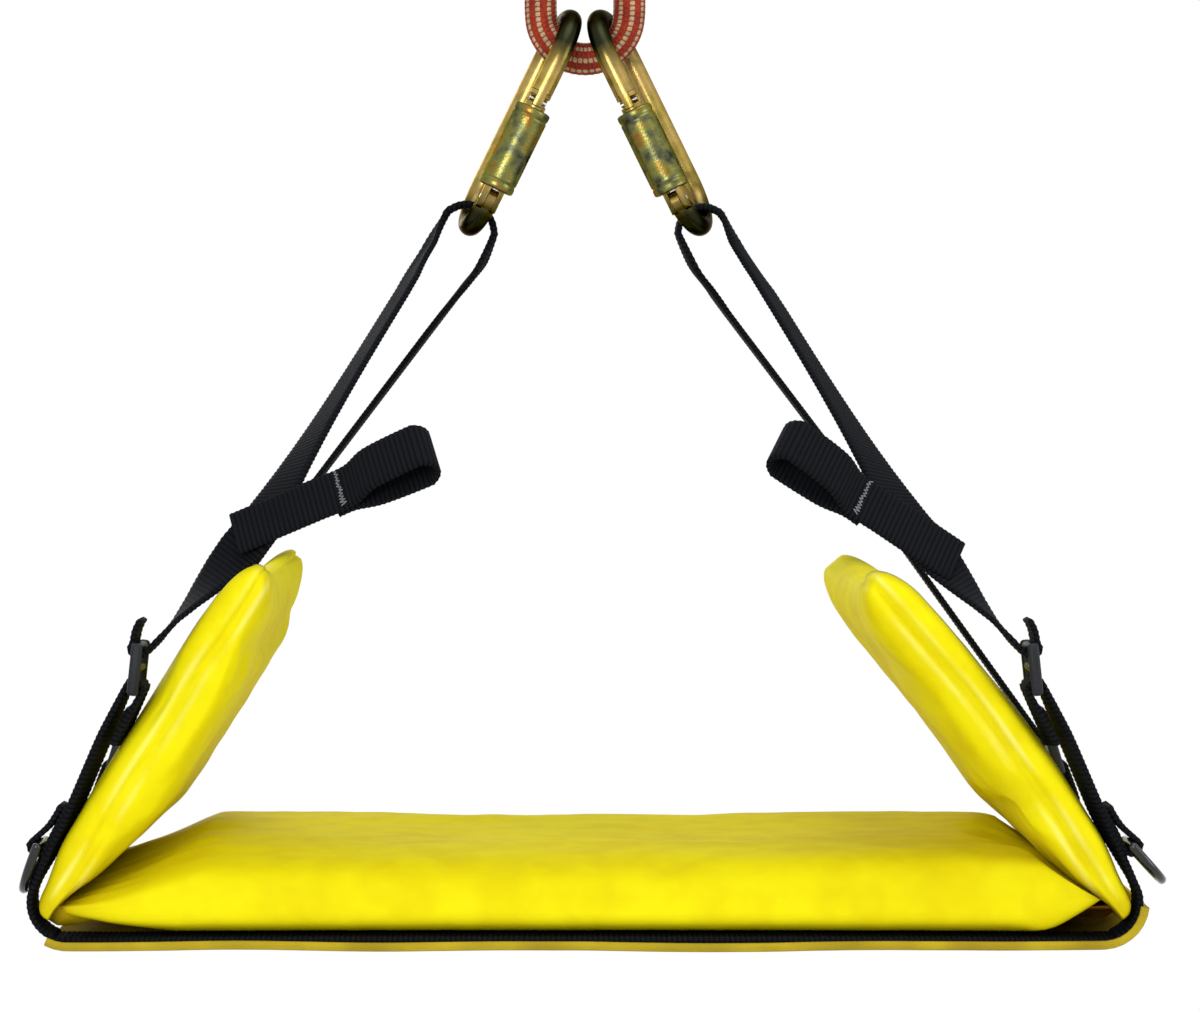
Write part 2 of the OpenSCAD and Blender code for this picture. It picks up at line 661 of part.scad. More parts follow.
// Wing: drawn lying along +X from its fold, outer face up, then leaned
wing_stations = 18;

module at_wing(side) {
    lean = side == left ? left_wing_lean : right_wing_lean;
    on_side(side) translate([-fold_x, 0, fold_z]) rotate([0, -lean, 0]) children();
}

function wing_l(side) = side == left ? left_wing_l : right_wing_l;
function wing_bow(side) = side == left ? left_wing_bow : right_wing_bow;
function wing_ring(x, side) = let (
        full = swell(x, wing_pinch),
        outer_full = swell(x, wing_outer_pinch),
        top = round_off(wing_l(side) - x, wing_top_pinch),
        outer_top = round_off(wing_l(side) - x, wing_outer_top_pinch),
        half = seat_depth / 2 - draw_in * sin(180 * x / wing_l(side)),
        out = min(blend(lip_t, wing_out, outer_full), blend(wing_edge_t, wing_out, outer_top)),
        in = min(blend(inner_lip_t, wing_in, full), blend(wing_edge_t, wing_in, top)),
        bow = wing_bow(side) * sin(180 * x / wing_l(side)))
    [for (p = pad_ring(x, half, out, in, 8, 4)) p + [0, 0, bow]];
wing_fill_from = wing_pinch;
wing_backing_z = wing_out - wing_backing_drop;
stiffener_z = wing_backing_z - stiffener_t;
wing_foam_z = wing_wadding - wing_in;

// A flat layer of a wing's filling, lifted by most of the wing's bow
module wing_layer(side, z, h) {
    fill_l = wing_l(side) - wing_pinch - wing_outer_top_pinch + 6;
    translate([wing_fill_from, -filling_y, z + wing_bow(side) * 0.6]) cube([fill_l, 2 * filling_y, h]);
}

module wing_cover(side) {
    color("gold") at_wing(side) difference() {
        sweep([for (i = [0:wing_stations])
            wing_ring(blend(fold_gap, wing_l(side), (1 - cos(180 * i / wing_stations)) / 2), side)]);
        wing_layer(side, wing_foam_z, 2 * wing_in);
    }
}

module wing_backing(side) {
    color("goldenrod") at_wing(side) wing_layer(side, wing_backing_z, backing_t);
}

module wing_stiffener(side) {
    color("gray") at_wing(side) wing_layer(side, stiffener_z, stiffener_t);
}

module wing_foam(side) {
    color("ivory") at_wing(side) wing_layer(side, wing_foam_z, stiffener_z - wing_foam_z);
}

rope_sling();
splice_sleeve();
seat_cover();
seat_foam();
seat_board();
seat_backing();
under_sheet();
seat_strap(-strap_y, front_bar, front_loop_back);  // front_seat_strap
seat_strap(strap_y, rear_bar, rear_loop_back);  // rear_seat_strap
wing_cover(left);  // left_wing_cover
wing_foam(left);  // left_wing_foam
wing_stiffener(left);  // left_wing_stiffener
wing_backing(left);  // left_wing_backing
wing_cover(right);  // right_wing_cover
wing_foam(right);  // right_wing_foam
wing_stiffener(right);  // right_wing_stiffener
wing_backing(right);  // right_wing_backing
bridle_strap(left);  // left_bridle_strap
bridle_strap(right);  // right_bridle_strap
buckle(left, -strap_y, front_bar);  // left_front_buckle
buckle(left, strap_y, rear_bar);  // left_rear_buckle
buckle(right, -strap_y, front_bar);  // right_front_buckle
buckle(right, strap_y, rear_bar);  // right_rear_buckle
hand_loop(left);  // left_hand_loop
hand_loop(right);  // right_hand_loop
ring_tab(left);  // left_ring_tab
ring_tab(right);  // right_ring_tab
tool_ring(left);  // left_tool_ring
tool_ring(right);  // right_tool_ring
carabiner_frame(left);  // left_carabiner_frame
gate_pin(left);  // left_gate_pin
latch_pin(left);  // left_latch_pin
gate(left);  // left_gate
gate_spring(left);  // left_gate_spring
gate_plunger(left);  // left_gate_plunger
sleeve(left);  // left_sleeve
carabiner_frame(right);  // right_carabiner_frame
gate_pin(right);  // right_gate_pin
latch_pin(right);  // right_latch_pin
gate(right);  // right_gate
gate_spring(right);  // right_gate_spring
gate_plunger(right);  // right_gate_plunger
sleeve(right);  // right_sleeve
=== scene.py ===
# %% [markdown]
# # A bosun's chair, dressed around its frame
# A bosun's chair is a padded seat that a rigger hangs from a hook to work up a mast or a wall.
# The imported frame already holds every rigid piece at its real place. This lesson adds what makes
# the chair look real: coated fabric over wadding, ribbed webbing, a braided rope and plated steel.
# Everything is in metres, with +X to the right, -Y to the front and +Z up. The origin is the hoist eye.

# %% Load the frame
import json
import math
from types import SimpleNamespace

import bpy
from mathutils import Matrix, Vector
from mathutils.noise import noise

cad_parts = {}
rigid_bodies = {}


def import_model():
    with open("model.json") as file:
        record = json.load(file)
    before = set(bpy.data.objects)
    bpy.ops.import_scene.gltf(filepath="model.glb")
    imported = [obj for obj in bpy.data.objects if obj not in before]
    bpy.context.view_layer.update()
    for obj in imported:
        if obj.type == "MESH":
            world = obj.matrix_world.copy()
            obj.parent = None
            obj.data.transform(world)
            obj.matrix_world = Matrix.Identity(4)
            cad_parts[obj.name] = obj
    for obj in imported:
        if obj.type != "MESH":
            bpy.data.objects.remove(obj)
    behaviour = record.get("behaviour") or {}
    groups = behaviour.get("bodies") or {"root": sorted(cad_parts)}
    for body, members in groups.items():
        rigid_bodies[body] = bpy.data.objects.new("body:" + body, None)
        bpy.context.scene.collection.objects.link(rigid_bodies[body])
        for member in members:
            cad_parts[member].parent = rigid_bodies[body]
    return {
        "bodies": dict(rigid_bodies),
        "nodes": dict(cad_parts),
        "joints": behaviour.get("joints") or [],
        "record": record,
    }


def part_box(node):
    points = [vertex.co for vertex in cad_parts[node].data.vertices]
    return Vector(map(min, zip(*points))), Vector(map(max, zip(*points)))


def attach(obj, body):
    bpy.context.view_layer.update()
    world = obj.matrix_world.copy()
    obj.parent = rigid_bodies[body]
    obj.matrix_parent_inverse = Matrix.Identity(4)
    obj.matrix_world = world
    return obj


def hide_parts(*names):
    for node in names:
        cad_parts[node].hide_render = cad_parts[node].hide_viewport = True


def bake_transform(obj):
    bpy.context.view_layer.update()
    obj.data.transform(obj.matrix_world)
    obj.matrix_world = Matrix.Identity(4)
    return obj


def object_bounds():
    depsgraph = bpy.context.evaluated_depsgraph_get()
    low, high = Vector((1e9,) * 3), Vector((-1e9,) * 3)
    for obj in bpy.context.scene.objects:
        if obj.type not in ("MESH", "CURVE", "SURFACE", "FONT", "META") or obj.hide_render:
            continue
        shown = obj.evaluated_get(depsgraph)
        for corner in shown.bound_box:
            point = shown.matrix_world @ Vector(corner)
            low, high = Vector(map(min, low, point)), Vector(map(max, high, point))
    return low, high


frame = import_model()
nodes = frame["nodes"]
joints = {joint["name"]: joint for joint in frame["joints"]}
solid_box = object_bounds()
MM = 0.001
SIDES = {"left": -1, "right": 1}

# %% [markdown]
# ## Small helpers
# Operators act on whatever is selected, so each helper first clears the selection and picks its piece.
# A modifier that is only a means to an end is applied at once, which keeps the finished meshes plain.
# Finishes and the world are graphs of shader nodes, and a second cell adds and joins those.

# %% Selecting, modifiers and clean-up


def use(piece):
    bpy.ops.object.select_all(action="DESELECT")
    piece.select_set(True)
    bpy.context.view_layer.objects.active = piece


def finish_with(piece, kind, **settings):
    use(piece)
    modifier = piece.modifiers.new(kind.title(), kind)
    for setting, value in settings.items():
        setattr(modifier, setting, value)
    bpy.ops.object.modifier_apply(modifier=modifier.name)


def close_up(piece):
    """Merges doubled points, closes open ends and turns all faces outwards."""
    use(piece)
    bpy.ops.object.mode_set(mode="EDIT")
    bpy.ops.mesh.select_all(action="SELECT")
    bpy.ops.mesh.remove_doubles(threshold=1e-6)
    bpy.ops.mesh.select_all(action="SELECT")
    bpy.ops.mesh.fill_holes(sides=0)
    bpy.ops.mesh.select_all(action="SELECT")
    bpy.ops.mesh.normals_make_consistent(inside=False)
    bpy.ops.object.mode_set(mode="OBJECT")


def smooth(piece, angle=40):
    use(piece)
    bpy.ops.object.shade_smooth_by_angle(angle=math.radians(angle))


def dress(piece, material, body, replaced=()):
    """Gives a finished piece its material and its body, and hides the solids that it stands for."""
    piece.data.materials.clear()
    piece.data.materials.append(material)
    if body:
        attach(piece, body)
    if replaced:
        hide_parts(*replaced)
    print(piece.name, len(piece.data.vertices), "points")


def clamp(t):
    return min(1.0, max(0.0, t))


def ease(t):
    t = clamp(t)
    return t * t * (3 - 2 * t)


def mixed(a, b, t):
    return a + (b - a) * t


def quarter(t):
    """Rises like the first quarter of a sine wave, steep at first and level at the end."""
    return math.sin(math.pi / 2 * clamp(t))


def bell(away, width):
    """A soft bump: 1 in the middle, and almost 0 from twice the width on."""
    return math.exp(-((away / width) ** 2))


def wander(x, y, z):
    """Smooth noise between about -1 and 1, the same at every run."""
    return noise(Vector((x, y, z)))


def square_to(v, w):
    return (v - w * v.dot(w)).normalized()


# %% Adding shader nodes


def add(tree, kind, **settings):
    node = tree.nodes.new(kind)
    for setting, value in settings.items():
        setattr(node, setting, value)
    return node


def math_node(tree, operation, a, b=None):
    node = add(tree, "ShaderNodeMath", operation=operation)
    for socket, value in zip(node.inputs, (a, b)):
        if isinstance(value, bpy.types.NodeSocket):
            tree.links.new(value, socket)
        elif value is not None:
            socket.default_value = value
    return node.outputs[0]


def spread(tree, value, low, high, to_low, to_high, kind="LINEAR"):
    node = add(tree, "ShaderNodeMapRange", interpolation_type=kind)
    for socket, number in zip(("From Min", "From Max", "To Min", "To Max"), (low, high, to_low, to_high)):
        node.inputs[socket].default_value = number
    tree.links.new(value, node.inputs["Value"])
    return node.outputs["Result"]


def mix_shaders(tree, share, first, second, output):
    blend = add(tree, "ShaderNodeMixShader")
    for source, socket in zip((share, first.outputs[0], second.outputs[0]), blend.inputs):
        tree.links.new(source, socket)
    tree.links.new(blend.outputs[0], tree.nodes[output].inputs["Surface"])


# %% [markdown]
# ## The camera
# The picture was taken from the front with a long lens, a little above the seat. The picture's frame is
# 1200 by 1010 pixels. The point straight ahead of the lens isn't in the middle of the frame, because the
# picture was cropped, so the camera keeps level and its sensor is shifted by the same share of the frame.

# %% Camera
PICTURE_W = 1200
PICTURE_H = 1010
STRAIGHT_AHEAD = (585, 410)
FOCAL_PIXELS = 4225
CAMERA_AT = (0.0, -1.963, -0.239)
SENSOR_MM = 36

bpy.ops.object.camera_add(location=CAMERA_AT, rotation=(math.radians(90), 0, 0))
camera = bpy.context.object
camera.data.sensor_width = SENSOR_MM
camera.data.lens = FOCAL_PIXELS / PICTURE_W * SENSOR_MM
camera.data.shift_x = (PICTURE_W / 2 - STRAIGHT_AHEAD[0]) / PICTURE_W
camera.data.shift_y = (STRAIGHT_AHEAD[1] - PICTURE_H / 2) / PICTURE_W
camera.data.clip_start = 0.05
bpy.context.scene.camera = camera
print("lens", round(camera.data.lens, 1))

# %% [markdown]
# ## Floor, backdrop and light
# The chair hangs in front of plain white. A pale floor lies well below it and a white world stands behind.
# The white that the camera and the bright metal see comes from the world's colour, not from more light, and
# the floor turns to that same white away from the chair, so no edge of it shows.
# The light on the chair is soft: a large lamp near the camera makes the front faces bright, as in the
# picture, and weaker lamps above and to the sides keep the shadows open.

# %% Stage
FLOOR_BELOW = 0.22
WHITE_FROM = (0.25, 0.9)
WHITE_SHARE = (0.9, 1.0)


def white_seen(material):
    """White to the camera and to mirrors, with only a faint shadow left below the chair."""
    tree = material.node_tree
    paper = tree.nodes["Principled BSDF"]
    paper.inputs["Base Color"].default_value = (0.86, 0.86, 0.85, 1)
    paper.inputs["Roughness"].default_value = 0.9
    glow = add(tree, "ShaderNodeEmission")
    glow.inputs["Color"].default_value = (1, 1, 1, 1)
    path = add(tree, "ShaderNodeLightPath")
    place = add(tree, "ShaderNodeTexCoord")
    away = add(tree, "ShaderNodeVectorMath", operation="LENGTH")
    tree.links.new(place.outputs["Object"], away.inputs[0])
    share = spread(tree, away.outputs["Value"], *WHITE_FROM, *WHITE_SHARE, "SMOOTHSTEP")
    either = math_node(tree, "MAXIMUM", path.outputs["Is Camera Ray"], path.outputs["Is Glossy Ray"])
    mix_shaders(tree, math_node(tree, "MULTIPLY", either, share), paper, glow, "Material Output")


paper = bpy.data.materials.new("pale_paper")
paper.use_nodes = True
white_seen(paper)
bpy.ops.mesh.primitive_plane_add(size=8, location=(0, 0, solid_box[0][2] - FLOOR_BELOW))
floor = bpy.context.object
floor.name = "floor"
floor.data.materials.append(paper)

world = bpy.data.worlds.new("white_world")
bpy.context.scene.world = world
world.use_nodes = True
tree = world.node_tree
ambient = tree.nodes["Background"]
ambient.inputs["Color"].default_value = (0.95, 0.97, 1.0, 1)
ambient.inputs["Strength"].default_value = 0.42
bright = add(tree, "ShaderNodeBackground")
bright.inputs["Color"].default_value = (1, 1, 1, 1)
bright.inputs["Strength"].default_value = 1.0
path = add(tree, "ShaderNodeLightPath")
mirrored = math_node(tree, "MAXIMUM", path.outputs["Is Glossy Ray"], path.outputs["Is Transmission Ray"])
straight = math_node(tree, "MAXIMUM", path.outputs["Is Camera Ray"], mirrored)
mix_shaders(tree, straight, ambient, bright, "World Output")


def soft_lamp(name, place, aim, size, power):
    bpy.ops.object.light_add(type="AREA", location=place)
    lamp = bpy.context.object
    lamp.name = name
    lamp.data.size = size
    lamp.data.energy = power
    turn = (Vector(aim) - Vector(place)).to_track_quat("-Z", "Y")
    lamp.rotation_euler = turn.to_euler()


SEAT_MIDDLE = (0, 0, -0.3)
soft_lamp("front_lamp", (-0.5, -2.1, 0.15), SEAT_MIDDLE, 0.7, 21.5)
soft_lamp("top_lamp", (0.3, -0.4, 1.5), (0, 0, -0.4), 1.2, 13)
soft_lamp("side_lamp", (1.7, -0.7, 0.0), SEAT_MIDDLE, 0.9, 9)
soft_lamp("back_lamp", (-0.9, 1.6, 0.3), SEAT_MIDDLE, 0.9, 10)
bpy.context.scene.view_settings.view_transform = "Standard"
print("lamps set")

# %% [markdown]
# ## Finishes
# Each finish is a Principled shader whose colour, roughness and bump vary over the surface. What several
# finishes share is a node group: a speckle that breaks up a plain colour, and a weave that reads the
# piece's own lay, a point attribute that holds the way across, the way along and the side of a strap.

# %% Node helpers and groups


def new_group(name, inputs, outputs):
    """A shader group of plain numbers: its inputs with their usual values, and its outputs by name."""
    group = bpy.data.node_groups.new(name, "ShaderNodeTree")
    for socket, value in inputs.items():
        made = group.interface.new_socket(name=socket, in_out="INPUT", socket_type="NodeSocketFloat")
        made.default_value = value
    for socket in outputs:
        group.interface.new_socket(name=socket, in_out="OUTPUT", socket_type="NodeSocketFloat")
    return group, group.nodes.new("NodeGroupInput"), group.nodes.new("NodeGroupOutput")


def mottle_group():
    """Two sizes of soft noise on Object coordinates, as one value about a half."""
    group, start, end = new_group("mottle", {"Large": 20.0, "Fine": 300.0}, ["Value"])
    place = add(group, "ShaderNodeTexCoord")
    large = add(group, "ShaderNodeTexNoise")
    large.inputs["Detail"].default_value = 4
    fine = add(group, "ShaderNodeTexNoise")
    fine.inputs["Detail"].default_value = 2
    for noise_node, scale in ((large, "Large"), (fine, "Fine")):
        group.links.new(place.outputs["Object"], noise_node.inputs["Vector"])
        group.links.new(start.outputs[scale], noise_node.inputs["Scale"])
    both = math_node(group, "ADD", large.outputs[0], fine.outputs[0])
    half = math_node(group, "MULTIPLY", both, 0.5)
    group.links.new(half, end.inputs["Value"])
    return group


def weave_group():
    """The cross ribs of a strap, from the way along in its lay attribute."""
    group, start, end = new_group("weave", {"Along": 0.0022}, ["Rib"])
    lay = add(group, "ShaderNodeAttribute", attribute_name="lay")
    split = add(group, "ShaderNodeSeparateXYZ")
    group.links.new(lay.outputs["Vector"], split.inputs[0])
    row = math_node(group, "DIVIDE", split.outputs["Y"], start.outputs["Along"])
    wave = math_node(group, "SINE", math_node(group, "MULTIPLY", row, math.pi))
    group.links.new(math_node(group, "ABSOLUTE", wave), end.inputs["Rib"])
    return group


MOTTLE = mottle_group()
WEAVE = weave_group()


def new_finish(name, colour, roughness, **sockets):
    material = bpy.data.materials.new(name)
    material.use_nodes = True
    shader = material.node_tree.nodes["Principled BSDF"]
    shader.inputs["Base Color"].default_value = (*colour, 1)
    shader.inputs["Roughness"].default_value = roughness
    for socket, value in sockets.items():
        shader.inputs[socket.replace("_", " ")].default_value = value
    return material, material.node_tree, shader


def place_group(tree, group, **values):
    node = add(tree, "ShaderNodeGroup", node_tree=group)
    for socket, value in values.items():
        node.inputs[socket].default_value = value
    return node.outputs[0]


def ramp(tree, value, *stops):
    """A colour ramp through (place, colour) stops."""
    node = add(tree, "ShaderNodeValToRGB")
    elements = node.color_ramp.elements
    while len(elements) < len(stops):
        elements.new(0.5)
    for element, (place, colour) in zip(elements, stops):
        element.position = place
        element.color = (*colour, 1)
    tree.links.new(value, node.inputs[0])
    return node.outputs["Color"]


def colour_by(tree, shader, value, *stops):
    tree.links.new(ramp(tree, value, *stops), shader.inputs["Base Color"])


def rough_by(tree, shader, value, low, high):
    """Lets the roughness wander between two values."""
    tree.links.new(spread(tree, value, 0.3, 0.7, low, high), shader.inputs["Roughness"])


def attribute(tree, name):
    return add(tree, "ShaderNodeAttribute", attribute_name=name).outputs["Fac"]


def blend_colours(tree, share, under, over):
    """A mix of two colours. The second is a socket or a plain colour."""
    mix = add(tree, "ShaderNodeMix", data_type="RGBA")
    tree.links.new(share, mix.inputs[0])
    tree.links.new(under, mix.inputs[6])
    if isinstance(over, bpy.types.NodeSocket):
        tree.links.new(over, mix.inputs[7])
    else:
        mix.inputs[7].default_value = (*over, 1)
    return mix.outputs[2]


def bump(tree, shader, height, strength, distance):
    node = add(tree, "ShaderNodeBump")
    node.inputs["Strength"].default_value = strength
    node.inputs["Distance"].default_value = distance
    tree.links.new(height, node.inputs["Height"])
    tree.links.new(node.outputs["Normal"], shader.inputs["Normal"])


# %% [markdown]
# The yellow cover is a coated cloth: a soft, dull shine, with a fine grain from the cloth below. The pads
# carry two attributes of painted light: one paints brown shade into the creases at the folds, into pockets
# and a little over the seat's top, and one paints pale highlights along the ridges of the wings.

# %% Coated cloth


def coated_cloth(name, plain, shaded, crease_shade_colour, highlight_colour):
    material, tree, shader = new_finish(name, plain, 0.65, IOR=1.12)
    mottle = place_group(tree, MOTTLE, Large=9.0, Fine=55.0)
    colour = ramp(tree, mottle, (0.38, shaded), (0.56, plain))
    # Painted crease shade first, then painted highlights on the ridges.
    colour = blend_colours(tree, attribute(tree, "crease_shade"), colour, crease_shade_colour)
    colour = blend_colours(tree, attribute(tree, "painted_highlight"), colour, highlight_colour)
    tree.links.new(colour, shader.inputs["Base Color"])
    grain = place_group(tree, MOTTLE, Large=420.0, Fine=1500.0)
    rough_by(tree, shader, grain, 0.56, 0.72)
    bump(tree, shader, grain, 0.12, 0.0006)
    return material


# The last two colours are the painted crease shade and the painted highlight.
YELLOW = coated_cloth(
    "yellow_coated_cloth", (0.85, 0.75, 0.004), (0.78, 0.65, 0.003), (0.21, 0.09, 0.004), (0.93, 0.87, 0.2)
)
# The same cloth painted darker, as painted shade for the sheet under the seat.
UNDER_SEAT_SHADE_CLOTH = coated_cloth(
    "shaded_sheet_cloth", (0.55, 0.41, 0.02), (0.46, 0.33, 0.018), (0.12, 0.08, 0.01), (0.7, 0.6, 0.15)
)

# %% [markdown]
# Webbing is woven from black yarn. The ribs are real relief on the straps. The finish paints shade into
# the dips between them and leaves the yarn dull, and the thread of the seams is a dusty grey.

# %% Webbing and thread


def webbing_finish():
    material, tree, shader = new_finish("black_webbing", (0.005, 0.0055, 0.007), 0.85, IOR=1.16)
    weave = place_group(tree, WEAVE, Along=0.0023)
    mottle = place_group(tree, MOTTLE, Large=35.0, Fine=900.0)
    # Painted shade in the dips between the ribs, with a random mottle.
    shade = math_node(tree, "MULTIPLY", weave, mottle)
    colour_by(tree, shader, shade, (0.05, (0.0012, 0.0014, 0.002)), (0.55, (0.0075, 0.0085, 0.0115)))
    rough_by(tree, shader, mottle, 0.78, 0.92)
    bump(tree, shader, weave, 0.5, 0.0004)
    return material


def thread_finish(name, colour):
    material, tree, shader = new_finish(name, colour, 0.6, Sheen_Weight=0.2)
    mottle = place_group(tree, MOTTLE, Large=800.0, Fine=2400.0)
    dark = tuple(part * 0.7 for part in colour)
    colour_by(tree, shader, mottle, (0.35, dark), (0.6, colour))
    bump(tree, shader, mottle, 0.3, 0.0003)
    return material


WEBBING = webbing_finish()
GREY_THREAD = thread_finish("grey_thread", (0.17, 0.18, 0.185))
print("finishes", len(bpy.data.materials))

# %% [markdown]
# ## Sweeping a section along a line
# Rope, webbing and hems are all a section carried along a line. A grid primitive already has the right
# rows and columns, so it is added once and its points are moved: a row becomes one station on the line and
# a column one point of the section. The grid's two long edges then meet and are merged.

# %% Lines and sweeps


def curve_through(points, step):
    """Points at equal steps along a smooth curve through a few points."""
    dense = []
    last = len(points) - 1
    for i in range(last):
        a, b, c, d = (points[min(max(i + j, 0), last)] for j in (-1, 0, 1, 2))
        for k in range(12):
            t = k / 12
            dense.append(
                0.5
                * (
                    2 * b
                    + (c - a) * t
                    + (2 * a - 5 * b + 4 * c - d) * t * t
                    + (3 * b - a - 3 * c + d) * t * t * t
                )
            )
    dense.append(points[-1])
    return at_equal_steps(dense, step)


def distances(points):
    """How far along a line each of its points lies."""
    walked = [0.0]
    for a, b in zip(points, points[1:]):
        walked.append(walked[-1] + (b - a).length)
    return walked


def at_equal_steps(points, step):
    """The same line, measured out at equal steps."""
    walked = distances(points)
    count = max(2, round(walked[-1] / step))
    out = []
    i = 0
    for k in range(count + 1):
        at = walked[-1] * k / count
        while i < len(points) - 2 and walked[i + 1] < at:
            i += 1
        reach = walked[i + 1] - walked[i]
        out.append(points[i].lerp(points[i + 1], min(1.0, (at - walked[i]) / reach) if reach else 0.0))
    return out


def ways_along(points):
    last = len(points) - 1
    return [(points[min(i + 1, last)] - points[max(i - 1, 0)]).normalized() for i in range(last + 1)]


def arc(middle, first, second, radius, degrees):
    """Places round a middle. The first way is at 0 degrees and the second at 90."""
    turns = [math.radians(degree) for degree in degrees]
    return [middle + (first * math.cos(a) + second * math.sin(a)) * radius for a in turns]


def length_of(points):
    return distances(points)[-1]


def grid_sweep(name, stations, columns, place):
    """A closed skin: place(station, column) gives a point and its lay (across, along, side)."""
    bpy.ops.object.select_all(action="DESELECT")
    rows = stations - 1
    bpy.ops.mesh.primitive_grid_add(x_subdivisions=columns, y_subdivisions=rows, size=1)
    piece = bpy.context.object
    piece.name = name
    piece.data.name = name
    lay = piece.data.attributes.new("lay", "FLOAT_VECTOR", "POINT")
    for vertex in piece.data.vertices:
        column = round((vertex.co.x + 0.5) * columns) % columns
        station = round((vertex.co.y + 0.5) * rows)
        vertex.co, lay.data[vertex.index].vector = place(station, column)
    close_up(piece)
    return piece


# %% [markdown]
# ## The rope sling
# A short sling of braided rope hangs on the hook and holds both carabiners in its bight. Its route is the
# frame's own, point by point. The braid is real relief: sixteen columns of yarn run round the rope, and in
# every other column the yarns are cream, which gives the checks in the picture.

# %% Rope
ROPE_D = 15 * MM
ROPE_COLUMNS = 16
YARN_PITCH = 2.3 * MM
YARN_RELIEF = 0.55 * MM
POINTS_PER_YARN = 4
ROPE_REDS = ((0.15, 0.011, 0.005), (0.38, 0.034, 0.01))
ROPE_CREAMS = ((0.3, 0.21, 0.1), (0.56, 0.44, 0.27))
ROPE_ROUTE = [
    (20.5, -30), (20.5, -42), (20.5, -55), (19, -63), (14.5, -70), (7.8, -74.5), (0, -76),
    (-7.8, -74.5), (-14.5, -70), (-19, -63), (-20.5, -55), (-20.5, -42), (-20.5, -28), (-20.5, -13),
    (-19, -5), (-14.5, 2), (-7.8, 6.1), (0, 7.5), (7.8, 6.1), (14.5, 2), (19, -5), (20.5, -13),
    (20.5, -29),
]  # fmt: skip


def braided_finish():
    material, tree, shader = new_finish("braided_rope", (0.4, 0.04, 0.016), 0.75, Sheen_Weight=0.05, IOR=1.3)
    mottle = place_group(tree, MOTTLE, Large=120.0, Fine=1300.0)
    red = ramp(tree, mottle, (0.36, ROPE_REDS[0]), (0.62, ROPE_REDS[1]))
    cream = ramp(tree, mottle, (0.36, ROPE_CREAMS[0]), (0.62, ROPE_CREAMS[1]))
    share = spread(tree, attribute(tree, "yarn"), 0.15, 0.5, 0.0, 1.0)
    tree.links.new(blend_colours(tree, share, red, cream), shader.inputs["Base Color"])
    bump(tree, shader, mottle, 0.35, 0.0005)
    return material


def yarn_swell(column, station):
    """How high the braid stands at a point, from 0 between yarns to 1 on top of one."""
    slot_no = column // POINTS_PER_YARN
    across = (column % POINTS_PER_YARN) / POINTS_PER_YARN
    along = station / POINTS_PER_YARN + 0.5 * (slot_no % 2)
    return (abs(math.sin(math.pi * across)) * abs(math.sin(math.pi * along))) ** 0.7


rope_line = curve_through([Vector((x * MM, 0, z * MM)) for x, z in ROPE_ROUTE], YARN_PITCH / POINTS_PER_YARN)
rope_ways = ways_along(rope_line)
ROPE_SIDES = ROPE_COLUMNS * POINTS_PER_YARN


def rope_point(station, column):
    way = rope_ways[station]
    side = Vector((0, 1, 0))
    out = way.cross(side)
    turn = 2 * math.pi * column / ROPE_SIDES
    radius = ROPE_D / 2 - YARN_RELIEF * (0.7 - yarn_swell(column, station))
    point = rope_line[station] + (side * math.cos(turn) + out * math.sin(turn)) * radius
    cream = (column // POINTS_PER_YARN) % 2
    return point, Vector((turn, station, cream * yarn_swell(column, station)))


rope = grid_sweep("braided_rope_sling", len(rope_line), ROPE_SIDES, rope_point)
yarn = rope.data.attributes.new("yarn", "FLOAT", "POINT")
for vertex in rope.data.vertices:
    yarn.data[vertex.index].value = rope.data.attributes["lay"].data[vertex.index].vector.z
smooth(rope, 70)
dress(rope, braided_finish(), "chair", ["rope_sling"])

# %% [markdown]
# The rope's two ends meet inside a shrunk sleeve. A plain cylinder is the start. A few rings are cut round
# it, its ends are drawn in and every other ring is sunk a little, so that it shows the rope below.

# %% Splice sleeve
low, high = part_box("splice_sleeve")
splice_middle = (low + high) / 2
splice_r = (high.x - low.x) / 2
splice_l = high.z - low.z


def rubber_finish(name, colour, roughness, shine=0.5):
    material, tree, shader = new_finish(name, colour, roughness, Specular_IOR_Level=shine)
    mottle = place_group(tree, MOTTLE, Large=60.0, Fine=700.0)
    rough_by(tree, shader, mottle, roughness - 0.1, roughness + 0.12)
    bright_colour = tuple(part * 1.8 + 0.004 for part in colour)
    colour_by(tree, shader, mottle, (0.4, colour), (0.7, bright_colour))
    bump(tree, shader, mottle, 0.1, 0.0004)
    return material


SPLICE_BANDS = 9
SPLICE_SIDES = 40
END_DRAWN = 0.9
RING_SUNK = 0.02
bpy.ops.object.select_all(action="DESELECT")
bpy.ops.mesh.primitive_cylinder_add(
    vertices=SPLICE_SIDES, radius=splice_r, depth=splice_l, location=splice_middle, end_fill_type="NGON"
)
splice = bpy.context.object
splice.name = "shrunk_splice_sleeve"
bpy.ops.object.transform_apply(location=True, rotation=True, scale=True)
bpy.ops.object.mode_set(mode="EDIT")
for band in range(1, SPLICE_BANDS):
    bpy.ops.mesh.select_all(action="SELECT")
    bpy.ops.mesh.bisect(
        plane_co=(0, 0, splice_middle.z + splice_l * (band / SPLICE_BANDS - 0.5)), plane_no=(0, 0, 1)
    )
bpy.ops.object.mode_set(mode="OBJECT")
for vertex in splice.data.vertices:
    place = (vertex.co.z - splice_middle.z) / splice_l + 0.5
    end = min(place, 1 - place) * SPLICE_BANDS
    share = END_DRAWN if end < 0.5 else 1 - RING_SUNK * (round(end) % 2)
    vertex.co.xy = splice_middle.xy + (vertex.co.xy - splice_middle.xy) * share
finish_with(splice, "SUBSURF", levels=2, render_levels=2)
smooth(splice, 60)
SLEEVE_BLACK = rubber_finish("black_shrink_sleeve", (0.012, 0.012, 0.013), 0.45)
dress(splice, SLEEVE_BLACK, "chair", ["splice_sleeve"])
length_of(rope_line)
print("rope length", round(length_of(rope_line), 4))

